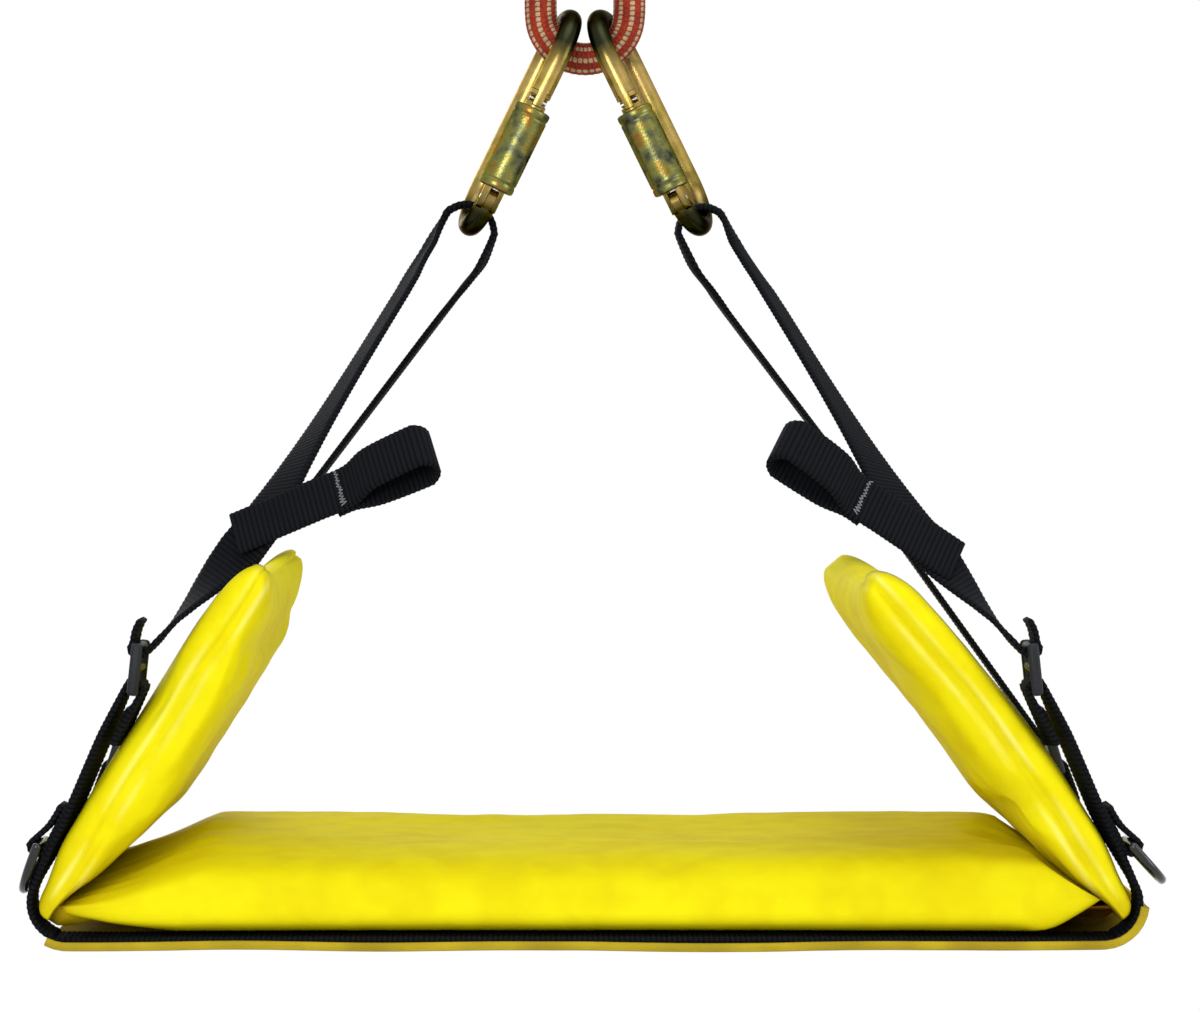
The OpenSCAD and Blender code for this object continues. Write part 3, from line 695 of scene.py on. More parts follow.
# %% [markdown]
# ## Webbing
# All straps are the same 25 mm webbing. A strap is a flat section with soft edges, swept along the strap's
# line. Each row of the sweep is half a rib, lifted or sunk by turns, so the ribs are real relief. Where the
# strap gathers in a carabiner it gets narrower and cups.

# %% Strap sweep
WEB_W = 25 * MM
WEB_T = 2.4 * MM
RIB_STEP = 1.15 * MM
RIB_H = 0.13 * MM
FLAT_POINTS = 9
SOFT_EDGE = 0.7 * MM


def strap_section(width):
    """Points round a flat strap, as (across, side)."""
    half = width / 2
    inner = half - SOFT_EDGE
    top = [(inner * (2 * k / (FLAT_POINTS - 1) - 1), WEB_T / 2) for k in range(FLAT_POINTS)]
    edge = [(half, WEB_T * 0.22), (half, -WEB_T * 0.22)]
    return top + edge + [(-x, -z) for x, z in top] + [(-x, -z) for x, z in edge]


SECTION_POINTS = len(strap_section(WEB_W))


def strap(name, rows):
    """A ribbed strap through rows of (point, way across, width, cup)."""
    points = [row[0] for row in rows]
    line = curve_through(points, RIB_STEP)
    ways = ways_along(line)
    walked = distances(points)
    sections = []
    i = 0
    for k, way in enumerate(ways):
        at = walked[-1] * k / (len(line) - 1)
        while i < len(rows) - 2 and walked[i + 1] < at:
            i += 1
        t = min(1.0, (at - walked[i]) / (walked[i + 1] - walked[i]))
        across = square_to(rows[i][1].lerp(rows[i + 1][1], t), way)
        out = way.cross(across)
        width = mixed(rows[i][2], rows[i + 1][2], t)
        cup = mixed(rows[i][3], rows[i + 1][3], t)
        sections.append((across, out, width, cup))

    def place(station, column):
        across, out, width, cup = sections[station]
        x, z = strap_section(width)[column]
        rib = RIB_H * (1 if station % 2 else -1)
        lifted = z + rib * (1 if z > 0 else -1) + cup * (2 * x / WEB_W) ** 2
        point = line[station] + across * (x * (1 + 0.04 * rib / SOFT_EDGE)) + out * lifted
        return point, Vector((x, station * RIB_STEP, z))

    piece = grid_sweep(name, len(line), SECTION_POINTS, place)
    smooth(piece, 75)
    print(name, "length", round(walked[-1], 3))
    return piece


# %% [markdown]
# ## The straps' places
# A strap's places are worked out as a rigger would: from the fold of the seat, the buckle, the kink beside
# the wing's top and the carabiner. They are drawn for the left side, in x and z, and mirrored.

# %% Places
SOFT_GAP = 0.3 * MM
fold_at = Vector(joints["left_wing_fold"]["pos_m"])
FOLD_X = -fold_at.x
FOLD_Z = fold_at.z
STRAP_Y = 108 * MM
KINK_Y = STRAP_Y - 10 * MM
CORNER_R = 16.5 * MM
BAR_D = 4 * MM
BAR_PITCH = 9 * MM
WRAP_R = BAR_D / 2 + SOFT_GAP + WEB_T / 2
SEAT_DOWN = 13 * MM
LEAD_OFF = 9 * MM
corner = Vector((-FOLD_X + 5 * MM, FOLD_Z - SEAT_DOWN - SOFT_GAP - WEB_T / 2 + CORNER_R))
kink = Vector((-FOLD_X + 85 * MM, -293 * MM))


def hold_at(bar, stand=None):
    """How the straps lead off a buckle whose lowest bar is at a place. It stands in line with the strap
    unless its own lean from upright is given."""
    to_corner = corner - bar
    lean = math.atan2(-to_corner.x, -to_corner.y) + math.asin(CORNER_R / to_corner.length)
    up = Vector((math.sin(lean), math.cos(lean)))
    stand = lean if stand is None else stand
    buckle_up = Vector((math.sin(stand), math.cos(stand)))
    top = bar + buckle_up * 2 * BAR_PITCH
    lead_way = (kink - top).normalized()
    lead_in = Vector((lead_way.y, -lead_way.x))
    return SimpleNamespace(
        bar=bar,
        lean=lean,
        up=up,
        stand=stand,
        buckle_up=buckle_up,
        out=Vector((-math.cos(lean), math.sin(lean))),
        top=top,
        lead_way=lead_way,
        lead_in=lead_in,
        lead=top + lead_in * WRAP_R + lead_way * LEAD_OFF,
    )


FRONT_HOLD = hold_at(Vector((-FOLD_X + 34 * MM, -361 * MM)), math.radians(6))
REAR_HOLD = hold_at(Vector((-FOLD_X, -414 * MM)))
DEPTH_WAY = Vector((0, 1, 0))


def flat(point, y):
    return Vector((point.x, y, point.y))


def on_side(rows, side):
    """The same rows on the left (-1) or mirrored to the right (+1)."""
    flip = Vector((-side, 1, 1))
    return [(row[0] * flip, row[1] * flip, *row[2:]) for row in rows]


# %% [markdown]
# ## Bridles
# Each bridle starts at the front buckle, goes up beside the wing, over the carabiner's lower bend and down
# to the rear buckle. The front leg twists on its way, so that it turns its flat side to the camera lower
# down, as in the picture. Its tail sticks up out of the buckle.

# %% Bridle straps
CARABINER_LEAN = math.radians(26)
ROD_D = 10 * MM
CARABINER_L = 116 * MM
GATHERED_W = 15 * MM
EYE_INNER_R = 10.8 * MM
EYE_HOLD = 8.74 * MM
EYE_LEG = 12 * MM
TAIL = 12 * MM
TAIL_BEND = 3 * MM
GATHER_CUP = 3 * MM
LEG_STEPS = 14
LEAD_STEPS = 6
TWIST_TOP = math.radians(14)
TWIST_KINK = math.radians(52)
hang = Vector(joints["left_carabiner_turn"]["pos_m"])
eye_up = Vector((math.sin(CARABINER_LEAN), math.cos(CARABINER_LEAN)))
eye_out = Vector((-math.cos(CARABINER_LEAN), math.sin(CARABINER_LEAN)))
rod_low = Vector((hang.x, hang.z)) - eye_up * (CARABINER_L - ROD_D)
EYE_R = EYE_INNER_R + WEB_T / 2
eye_middle = rod_low + eye_up * (EYE_HOLD - EYE_R)
front_leg_top = eye_middle + eye_out * EYE_R - eye_up * EYE_LEG
rear_leg_top = eye_middle - eye_out * EYE_R - eye_up * EYE_LEG


def leg_point(t, top, hold):
    if t < 1:
        return flat(top, 0).lerp(flat(kink, KINK_Y), t)
    return flat(kink, KINK_Y).lerp(flat(hold.lead, STRAP_Y), t - 1)


def leg_way(t, top, hold):
    return (leg_point(t + 0.02, top, hold) - leg_point(t - 0.02, top, hold)).normalized()


def leg_across(t, top, hold, twisted):
    way = leg_way(t, top, hold)
    twist = mixed(TWIST_TOP, TWIST_KINK, t**4) if t < 1 else TWIST_KINK * (1 - ease(t - 1))
    return Matrix.Rotation(twist * twisted, 3, way) @ square_to(DEPTH_WAY, way)


def leg_rows(top, hold, twisted):
    rows = []
    for i in range(LEG_STEPS + LEAD_STEPS + 1):
        t = i / LEG_STEPS if i < LEG_STEPS else 1 + (i - LEG_STEPS) / LEAD_STEPS
        width = mixed(GATHERED_W, WEB_W, ease(t * 5))
        cup = GATHER_CUP * (1 - ease(t * 6))
        across = leg_across(min(t, 1.96), top, hold, twisted)
        rows.append((leg_point(t, top, hold), across, width, cup))
    spots = arc(hold.top, hold.lead_in, -hold.lead_way, WRAP_R, range(0, 181, 30))
    for s in (0.4, 0.7, 1.0):
        off_bar = WRAP_R - s * s * TAIL_BEND
        spots.append(hold.top - hold.lead_in * off_bar + hold.buckle_up * s * TAIL)
    return rows + [(flat(spot, STRAP_Y), DEPTH_WAY, WEB_W, 0) for spot in spots]


def to_front(rows):
    flip = Vector((1, -1, 1))
    return [(row[0] * flip, -(row[1] * flip), *row[2:]) for row in rows]


def bridle_rows():
    front = to_front(leg_rows(front_leg_top, FRONT_HOLD, 1))
    rear = leg_rows(rear_leg_top, REAR_HOLD, 0)
    spots = arc(eye_middle, eye_out, eye_up, EYE_R, range(15, 180, 15))
    over = [(flat(spot, 0), DEPTH_WAY, GATHERED_W, GATHER_CUP) for spot in spots]
    return front[::-1] + over + rear


for side_name, side in SIDES.items():
    bridle = strap(f"{side_name}_bridle_webbing", on_side(bridle_rows(), side))
    dress(bridle, WEBBING, "chair", [f"{side_name}_bridle_strap"])

# %% [markdown]
# ## Seat straps
# Two straps run under the seat. At each side a strap rounds the seat's corner, rises to the buckle, goes
# round its lowest bar and is sewn back on itself.

# %% Seat straps
FRONT_LOOP_BACK = 26 * MM
REAR_LOOP_BACK = 17 * MM
STRAP_TURN = math.radians(9)


def half_seat_strap(hold, loop_back):
    """Places from the sewn end, round the bar and down to the seat's underside, each with its turn."""
    spots = [hold.bar - hold.up * loop_back - hold.out * (WRAP_R + 0.2 * MM)]
    spots += arc(hold.bar, hold.up, hold.out, WRAP_R, range(-90, 91, 30))
    spots.append(hold.bar - hold.up * loop_back + hold.out * (WRAP_R - 1 * MM))
    side_spot = corner + hold.out * CORNER_R
    spots += [side_spot.lerp(hold.bar, 0.35), side_spot.lerp(hold.bar, 0.18)]
    start = 180 - math.degrees(hold.lean)
    turns = [mixed(start, 270, k / 5) for k in range(6)]
    return spots + arc(corner, Vector((1, 0)), Vector((0, 1)), CORNER_R, turns)


def seat_strap_rows(y, hold, loop_back):
    """The strap lies flat, but its rear edge turns in towards the wing between corner and buckle."""
    half = half_seat_strap(hold, loop_back)
    bottom = half[-1].y
    left = []
    for spot in half:
        rise = (spot - corner).dot(hold.up) / (hold.bar - corner).dot(hold.up)
        turn = STRAP_TURN * math.sin(math.pi * clamp(rise)) ** 0.7
        across = DEPTH_WAY * math.cos(turn) - flat(hold.out, 0) * math.sin(turn)
        left.append((flat(spot, y), across, WEB_W, 0))
    between = [mixed(half[-1].x, -half[-1].x, k / 8) for k in range(1, 8)]
    under = [(Vector((x, y, bottom)), DEPTH_WAY, WEB_W, 0) for x in between]
    return left + under + on_side(left, 1)[::-1]


SEAT_STRAPS = (
    ("front", -STRAP_Y, FRONT_HOLD, FRONT_LOOP_BACK),
    ("rear", STRAP_Y, REAR_HOLD, REAR_LOOP_BACK),
)
for place_name, y, hold, loop_back in SEAT_STRAPS:
    piece = strap(f"{place_name}_seat_webbing", seat_strap_rows(y, hold, loop_back))
    dress(piece, WEBBING, "chair", [f"{place_name}_seat_strap"])

# %% [markdown]
# ## Hand loops
# A hand loop is a doubled strap, sewn flat on the front leg of the bridle. Its sewn root lies at the hinge
# that the loop swings about.

# %% Hand loops
LOOP_L = 72 * MM
LOOP_EYE_L = 40 * MM
LOOP_EYE_H = 14 * MM
LOOP_NECK = LOOP_L - LOOP_EYE_L
LOOP_ROOT = 23 * MM
LAYER = WEB_T + SOFT_GAP
LOOP_PLACE = {"left": 1.0, "right": 1.2}
LOOP_RISE = {"left": math.radians(19), "right": math.radians(29)}


def loop_frame(side_name):
    """The loop's root, its way, its normal and its axis, in place."""
    t = LOOP_PLACE[side_name]
    flip = Vector((1, -1, 1))
    way = leg_way(t, front_leg_top, FRONT_HOLD)
    normal = way.cross(leg_across(t, front_leg_top, FRONT_HOLD, 1)) * flip
    if normal.y > 0:
        normal = -normal
    rise = LOOP_RISE[side_name]
    way = square_to(Vector((math.cos(rise), 0, math.sin(rise))), normal)
    mirror = Vector((-SIDES[side_name], 1, 1))
    root = Vector(joints[f"{side_name}_loop_flop"]["pos_m"])
    across = normal.cross(way)
    return root, way * mirror, normal * mirror, across * mirror


def loop_profile():
    half = LOOP_EYE_H / 2
    spots = [(-LOOP_ROOT, 0), (-LOOP_ROOT * 0.5, 0), (0, 0), (LOOP_NECK / 2, 0), (LOOP_NECK, 0)]
    spots.append((LOOP_NECK + LOOP_EYE_L * 0.3, half * 0.75))
    for angle in range(90, -91, -30):
        a = math.radians(angle)
        spots.append((LOOP_L - half + half * math.cos(a), half * math.sin(a)))
    spots += [(LOOP_NECK + LOOP_EYE_L * 0.3, -half * 0.85), (LOOP_NECK, -LAYER), (LOOP_NECK - 8 * MM, -LAYER)]
    return spots


for side_name in SIDES:
    root, way, normal, across = loop_frame(side_name)
    rows = [(root + way * s + normal * h, across, WEB_W, 0) for s, h in loop_profile()]
    piece = strap(f"{side_name}_hand_loop_webbing", rows)
    dress(piece, WEBBING, None, [f"{side_name}_hand_loop"])
    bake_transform(piece)

# %% [markdown]
# A bar tack closes the eye of each loop: a dense zigzag of grey thread across the strap. The zigzag is a
# line swept with a small round section.

# %% Bar tacks
THREAD_D = 0.55 * MM
THREAD_STEP = 0.5 * MM
TACK_SIDES = 6
TACK_TURNS = 11
TACK_LONG = 1.5 * MM
TACK_INSET = 1.5 * MM
TACK_BACK = 4 * MM


def thread_sweep(name, spots):
    line = at_equal_steps(spots, THREAD_STEP)
    ways = ways_along(line)
    ref = (spots[1] - spots[0]).cross(spots[2] - spots[1])
    ref = ref.normalized() if ref.length > 1e-12 else Vector((0, 0, 1))

    def place(station, column):
        side = square_to(ref, ways[station])
        out = ways[station].cross(side)
        turn = 2 * math.pi * column / TACK_SIDES
        point = line[station] + (side * math.cos(turn) + out * math.sin(turn)) * THREAD_D / 2
        return point, Vector((turn, station * THREAD_STEP, 0))

    return grid_sweep(name, len(line), TACK_SIDES, place)


for side_name in SIDES:
    root, way, normal, across = loop_frame(side_name)
    middle = root + way * (LOOP_NECK - TACK_BACK) + normal * (WEB_T / 2 + RIB_H + THREAD_D * 0.2)
    spots = []
    for k in range(TACK_TURNS * 2 + 1):
        reach = (k / TACK_TURNS - 1) * (WEB_W / 2 - TACK_INSET)
        stray = wander(k * 0.9, 3.0, 0.5)
        long = TACK_LONG * (0.7 + 0.6 * stray) * (1 if k % 2 else -1)
        spots.append(middle + across * (reach + 0.5 * MM * stray) + way * long)
    tack = thread_sweep(f"{side_name}_loop_bar_tack", spots)
    smooth(tack, 60)
    dress(tack, GREY_THREAD, f"{side_name}_hand_loop")

# %% [markdown]
# ## Padded covers
# The seat and the two wings are foam in a coated cover. Each cover starts as a closed skin that is a little
# too slack for its filling. Cloth with pressure then swells it, with the fold edges held, so it gets the
# uneven fullness of real wadding. Dents, a sewn edge and the crowded creases at the folds come after that.

# %% Pad skins
PAD_STEP = 4.5 * MM
SEAT_HALF = 125 * MM
DRAW_IN = 5 * MM
LIP = 1.4 * MM
HELD_EDGE = 6 * MM
SWELL_FRAMES = 20
CLOTH = {
    "quality": 6,
    "mass": 0.2,
    "tension_stiffness": 18,
    "compression_stiffness": 18,
    "shear_stiffness": 6,
    "bending_stiffness": 0.4,
    "use_pressure": True,
    "uniform_pressure_force": 4.0,
    "shrink_min": -0.03,
    "vertex_group_mass": "held",
}


def bulge(value, power):
    return math.copysign(abs(value) ** (2 / power), value)


def equal_turns(half, up, down, power, low_power, count):
    """Angles that share a rounded section's outline into equal lengths."""
    fine = 1440
    spots = []
    for k in range(fine + 1):
        a = 2 * math.pi * k / fine
        high, use_power = (up, power) if math.sin(a) > 0 else (down, low_power)
        spots.append(Vector((half * bulge(math.cos(a), use_power), high * bulge(math.sin(a), use_power))))
    walked = distances(spots)
    turns = []
    i = 0
    for k in range(count):
        while walked[i + 1] < walked[-1] * k / count:
            i += 1
        turns.append(2 * math.pi * i / fine)
    return turns


def pad_skin(name, reach, shape, power, low_power):
    """A closed skin from 0 to reach along X. shape(x) gives its half depth, its height up and down there."""
    half, up, down = shape(reach / 2)
    columns = round(4 * half / PAD_STEP)
    stations = round(reach / PAD_STEP) + 1
    turns = equal_turns(half, up, down, power, low_power, columns)

    def place(station, column):
        x = reach * station / (stations - 1)
        half, up, down = shape(x)
        c = math.cos(turns[column])
        s = math.sin(turns[column])
        use_power = power if s > 0 else low_power
        point = Vector((x, half * bulge(c, use_power), (up if s > 0 else down) * bulge(s, use_power)))
        return point, Vector((column * PAD_STEP, x, 0))

    return grid_sweep(name, stations, columns, place)


def swell(piece, is_held, cap):
    """Blows a cover up as cloth. Held points stay, and cap(point) limits how far any other may move."""
    rest = [vertex.co.copy() for vertex in piece.data.vertices]
    held = piece.vertex_groups.new(name="held")
    held.add([i for i, point in enumerate(rest) if is_held(point)], 1.0, "REPLACE")
    use(piece)
    bpy.ops.object.modifier_add(type="CLOTH")
    cloth = piece.modifiers[-1]
    for setting, value in CLOTH.items():
        setattr(cloth.settings, setting, value)
    cloth.settings.effector_weights.gravity = 0
    cloth.point_cache.frame_start = 1
    cloth.point_cache.frame_end = SWELL_FRAMES
    for frame in range(1, SWELL_FRAMES + 1):
        bpy.context.scene.frame_set(frame)
    bpy.ops.object.modifier_apply(modifier=cloth.name)
    bpy.context.scene.frame_set(1)
    piece.vertex_groups.clear()
    most = 0.0
    for vertex, start in zip(piece.data.vertices, rest):
        move = vertex.co - start
        limit = cap(start)
        if move.length > limit:
            move *= limit / move.length
        vertex.co = start + move
        most = max(most, move.length)
    print(piece.name, "swelled by up to", round(most / MM, 1), "mm")


def shape_by(piece, move):
    """Moves every point along its normal by what move(point, normal) gives."""
    steps = [(vertex.normal.copy(), move(vertex.co, vertex.normal)) for vertex in piece.data.vertices]
    for vertex, (normal, step) in zip(piece.data.vertices, steps):
        vertex.co += normal * step


def hump(point, middle, size, height):
    """A soft bump, or a dent where height is below zero, as long and wide as size says."""
    away = sum(((point[i] - middle[i]) / size[i]) ** 2 for i in range(3))
    return height * math.exp(-away) if away < 9 else 0.0


def set_painted_light(piece, amount, name="crease_shade"):
    crease_shade = piece.data.attributes.new(name, "FLOAT", "POINT")
    for vertex in piece.data.vertices:
        crease_shade.data[vertex.index].value = clamp(amount(vertex.co))


# %% [markdown]
# The seat's left end thins out over a hand's width and its right end stays full almost to the fold, as the
# picture shows. Its underside is held flat because it lies on the straps.

# %% Seat pad
SEAT_UP = 18.5 * MM
SEAT_REACH = 2 * (FOLD_X - 0.8 * MM)
SEAT_TAPERS = (74 * MM, 44 * MM)
REAR_TAPER = 48 * MM
SEAT_SAG = ((0.2, 0.0, SEAT_UP), (0.17, 0.075, 0.05), -3.5 * MM)
LONG_FOLDS = 1.1 * MM
PUCKERS = 0.5 * MM
GATHERS = 0.8 * MM
GATHER_AT = 16 * MM
GATHER_WIDE = 14 * MM
FRONT_PRESS = 0.2
REAR_FULLEST = 1.12
CORNER_LIFT = 9 * MM


def seat_fullness(x):
    left = quarter(x / SEAT_TAPERS[0]) ** 1.15
    right = quarter((SEAT_REACH - x) / SEAT_TAPERS[1]) ** 0.8
    return min(left, right)


def seat_shape(x):
    full = seat_fullness(x)
    middle = 2 * x / SEAT_REACH - 1
    half = SEAT_HALF - DRAW_IN * (1 - middle * middle) - 1 * MM
    low_full = min(1.0, full**0.6 * 1.08)
    return half, mixed(0.4 * MM, SEAT_UP, full), mixed(LIP, SEAT_DOWN - 0.3 * MM, low_full)


def seat_held(point):
    under = point.z < -SEAT_DOWN * 0.5 and abs(point.y) < SEAT_HALF - 12 * MM
    return under or min(point.x, SEAT_REACH - point.x) < HELD_EDGE


def seat_cap(point):
    share = min(ease((point.x - 22 * MM) / (42 * MM)), ease((SEAT_REACH - point.x) / (40 * MM)))
    return mixed(0.2 * MM, 5 * MM if point.z > 0 else 1.5 * MM, share)


def seat_relief(point, normal):
    top = max(0.0, normal.z)
    front = max(0.0, -normal.y)
    long_folds = wander(point.x * 9, point.y * 46, 3.1) * LONG_FOLDS * top
    puckers = wander(point.x * 85, point.y * 12, 7.7) * PUCKERS * (front + 0.4 * top)
    sag = hump(point, *SEAT_SAG) * top
    end = min(point.x, SEAT_REACH - point.x)
    gather = math.sin(point.y * 330 + 2.0 * wander(point.y * 30, 0, 1.3)) * GATHERS
    gather *= bell(end - GATHER_AT, GATHER_WIDE) * top
    return long_folds + puckers + sag + gather


# Painted shade: brown in the creases near both ends of the seat, and a little over the seat's top.
def seat_crease_shade(point):
    end = min(point.x, SEAT_REACH - point.x)
    lines = 0.5 + 0.5 * wander(point.x * 20, point.y * 120, 5.0)
    return 0.85 * math.exp(-end / (7 * MM)) * (0.5 + lines) + 0.1 * max(0.0, point.z / SEAT_UP)


WING_PINCH = 56 * MM
WING_IN = {"left": 14.5 * MM, "right": 16.5 * MM}
WING_LEAN = {"left": math.radians(58), "right": math.radians(53)}


def clear_of_wing(point):
    """Moves a point of the seat's right end out of the wing."""
    lean = WING_LEAN["right"]
    away = SEAT_REACH - point.x + 0.8 * MM
    along = away * math.cos(lean) + point.z * math.sin(lean)
    deep = away * math.sin(lean) - point.z * math.cos(lean)
    full = quarter(along / WING_PINCH)
    short = WING_IN["right"] * full - deep
    if point.z > 0 and short > 0:
        point.x -= short * math.sin(lean)
        point.z -= short * math.cos(lean)


def settle(piece):
    """Presses the front edge down towards the left, keeps the rear left corner full, and pulls the right
    front corner up to the wing, which leaves the open pocket below it."""
    for vertex in piece.data.vertices:
        x, y, z = vertex.co
        left = 1 - ease(x / SEAT_REACH)
        end = ease(1 - (SEAT_REACH - x) / (36 * MM))
        if z > 0:
            vertex.co.z *= 1 - FRONT_PRESS * left * ease((-y - 60 * MM) / (60 * MM))
            share = quarter(max(0.02, x / REAR_TAPER)) ** 0.8
            fuller = share / max(0.02, seat_fullness(x)) if x < SEAT_TAPERS[0] else 1.0
            vertex.co.z *= mixed(1.0, min(fuller, REAR_FULLEST), ease((y + 60 * MM) / (80 * MM)))
        vertex.co.z += CORNER_LIFT * end * ease((-y - 55 * MM) / (45 * MM))
        clear_of_wing(vertex.co)


seat = pad_skin("seat_pad_cover", SEAT_REACH, seat_shape, 4.2, 7)
swell(seat, seat_held, seat_cap)
finish_with(seat, "SUBSURF", levels=1, render_levels=1)
shape_by(seat, seat_relief)
settle(seat)
set_painted_light(seat, seat_crease_shade)
seat.data.transform(Matrix.Translation((-SEAT_REACH / 2, 0, FOLD_Z)))
smooth(seat, 80)
dress(seat, YELLOW, "chair", ["seat_cover", "seat_backing"])

# %% [markdown]
# A wing is drawn lying down, with its fold at the origin and its outer face up, and leaned afterwards. Its
# lower end is a round heel about the fold, inside the corner that the strap rounds. Its front edge has a
# sewn valley between two rounded ridges, and its top edge sags between the corners.

# %% Wing pads
WING_L = {"left": 175 * MM, "right": 182 * MM}
WING_BOW = {"left": 1 * MM, "right": 5 * MM}
WING_OUTER_PINCH = 30 * MM
WING_TOP = 24 * MM
WING_EDGE = 3 * MM
HEEL = 9.2 * MM
WING_OUT = 13.6 * MM
WING_GATHER_AT = 18 * MM
VALLEY_WIDE = 2 * MM
VALLEY_DEEP = 2.8 * MM
VALLEY_STRAY = 1.6 * MM
RIDGE_OFF = 3.6 * MM
RIDGE_WIDE = 1.1 * MM
TOP_SAG = 9 * MM
SAG_FROM = 110 * MM
WING_MARKS = {
    "left": [
        ((0.098, -0.124, 0.009), (0.015, 0.016, 0.006), -4.0 * MM),
        ((0.122, -0.124, 0.008), (0.013, 0.014, 0.006), 2.0 * MM),
        ((0.075, -0.124, -0.006), (0.02, 0.014, 0.008), 1.6 * MM),
        ((0.04, -0.12, -0.008), (0.012, 0.02, 0.01), -2.6 * MM),
        ((0.145, -0.124, 0.003), (0.018, 0.014, 0.008), 1.8 * MM),
        ((0.09, 0.02, -0.013), (0.04, 0.05, 0.01), -1.5 * MM),
    ],
    "right": [
        ((0.062, -0.12, -0.01), (0.01, 0.016, 0.008), -4.2 * MM),
        ((0.09, -0.123, -0.007), (0.015, 0.014, 0.009), 3.4 * MM),
        ((0.125, -0.123, 0.004), (0.03, 0.014, 0.007), 1.5 * MM),
        ((0.034, -0.12, -0.005), (0.01, 0.02, 0.009), -2.4 * MM),
        ((0.1, 0.03, -0.013), (0.04, 0.05, 0.01), -1.5 * MM),
    ],
}


def wing_shape(length, inner):
    def shape(along):
        x = along - HEEL
        full = quarter(x / WING_PINCH)
        outer_full = ease(x / WING_OUTER_PINCH)
        heel = math.sqrt(max(0.04 * MM * HEEL, HEEL**2 - min(0.0, x) ** 2))
        top = quarter((length - x) / WING_TOP) ** 0.6
        draw_in = DRAW_IN * math.sin(math.pi * max(0.0, x) / length)
        half = SEAT_HALF - draw_in - 1 * MM - 7 * MM * (1 - top) ** 2 - 3 * MM * (1 - heel / HEEL)
        out = min(mixed(heel, WING_OUT, outer_full), mixed(WING_EDGE, WING_OUT, top))
        into = min(mixed(0.4 * MM, inner, full), mixed(WING_EDGE, inner, top))
        return half, out, into

    return shape


def wing_held(point):
    return point.x < HELD_EDGE


def wing_cap(point):
    room = 0.6 * MM if point.z > 0 else 3.5 * MM
    return mixed(0.2 * MM, room, ease((point.x - 26 * MM) / (44 * MM)))


WING_SEEDS = {"left": 11.0, "right": 23.0}


def valley_line(along, seed):
    return VALLEY_STRAY * wander(along * 22, 0, seed)


def wing_painted_highlight(side_name):
    """Paints pale highlights on the two ridges beside the valley, stronger in some places than in others."""
    seed = WING_SEEDS[side_name]

    def amount(point):
        if point.y > 8 * MM - SEAT_HALF + DRAW_IN:
            return 0.0
        away = abs(point.z - valley_line(point.x, seed)) - RIDGE_OFF
        patchy = 0.35 + 0.9 * wander(point.x * 40, point.z * 60, seed + 2)
        return 0.85 * bell(away, RIDGE_WIDE) * max(0.0, patchy) * ease(point.x / (12 * MM))

    return amount


def wing_relief(side_name):
    seed = WING_SEEDS[side_name]
    length = WING_L[side_name]

    def move(point, normal):
        front = max(0.0, -normal.y)
        step = sum(hump(point, *mark) for mark in WING_MARKS[side_name])
        valley = bell(point.z - valley_line(point.x, seed), VALLEY_WIDE) * front
        step -= VALLEY_DEEP * valley * ease(point.x / (30 * MM))
        soft = wander(point.x * 26, point.y * 16, seed + point.z * 30)
        small = wander(point.x * 75, point.y * 34, seed + 5)
        gather = math.sin(point.y * 300 + seed) * bell(point.x - WING_GATHER_AT, GATHER_WIDE)
        inner = 1.0 if normal.z < 0 else 0.35
        step += (soft * 1.1 + small * 0.5 + gather * 0.7) * MM * inner
        return step * ease((length - point.x) / (14 * MM))

    return move


def wing_bend(piece, length, bow):
    """Bows a wing outward and lets its top edge hang down between the two corners."""
    for vertex in piece.data.vertices:
        along = clamp(vertex.co.x / length)
        vertex.co.z += bow * math.sin(math.pi * along)
        up = ease((vertex.co.x - SAG_FROM) / (length - SAG_FROM))
        between = max(0.0, 1 - ((vertex.co.y - 5 * MM) / (105 * MM)) ** 2)
        vertex.co.x -= TOP_SAG * up * between


TUCK_AT = (0.064, -0.122, -0.009)
TUCK_SIZE = (0.011, 0.02, 0.006)
# How much painted shade lies in the tuck, on the right only.
TUCK_SHADE = {"left": 0.0, "right": 0.5}


def wing_crease_shade(side_name):
    """Paints shade beside the fold and, on the right, into the tuck in the wing's front edge."""

    def amount(point):
        lines = 0.5 + 0.5 * wander(point.x * 30, point.y * 110, 2.0)
        inner = ease(0.5 - point.z / (4 * MM))
        at_front = 0.45 * ease((-point.y - 105 * MM) / (10 * MM))
        near_fold = math.exp(-max(0.0, point.x) / (9 * MM))
        tuck = hump(point, TUCK_AT, TUCK_SIZE, TUCK_SHADE[side_name])
        return 0.9 * near_fold * (0.5 + lines) * max(inner, at_front) + tuck

    return amount


for side_name, side in SIDES.items():
    wing_l = WING_L[side_name]
    shape = wing_shape(wing_l, WING_IN[side_name])
    wing = pad_skin(f"{side_name}_wing_pad_cover", HEEL + wing_l, shape, 8, 5)
    wing.data.transform(Matrix.Translation((-HEEL, 0, 0)))
    swell(wing, wing_held, wing_cap)
    finish_with(wing, "SUBSURF", levels=2, render_levels=2)
    shape_by(wing, wing_relief(side_name))
    set_painted_light(wing, wing_painted_highlight(side_name), "painted_highlight")
    wing_bend(wing, wing_l, WING_BOW[side_name])
    set_painted_light(wing, wing_crease_shade(side_name))
    if side > 0:
        wing.data.transform(Matrix.Scale(-1, 4, (1, 0, 0)))
        close_up(wing)
    lean = Matrix.Rotation(side * WING_LEAN[side_name], 4, "Y")
    wing.data.transform(Matrix.Translation((side * FOLD_X, 0, FOLD_Z)) @ lean)
    smooth(wing, 80)
    covered = [f"{side_name}_wing_cover", f"{side_name}_wing_backing"]
    dress(wing, YELLOW, f"{side_name}_wing", covered)

# %% [markdown]
# ## Folds
# Seat and wing are one cover, sewn flat along the fold. A soft strip stands for that sewn line: it is bent
# round the outside of the fold, with a roll of spare cloth below the seat's end. One edge follows the seat
# and the other the wing. The right corner is open at the front, so the roll begins further back there.

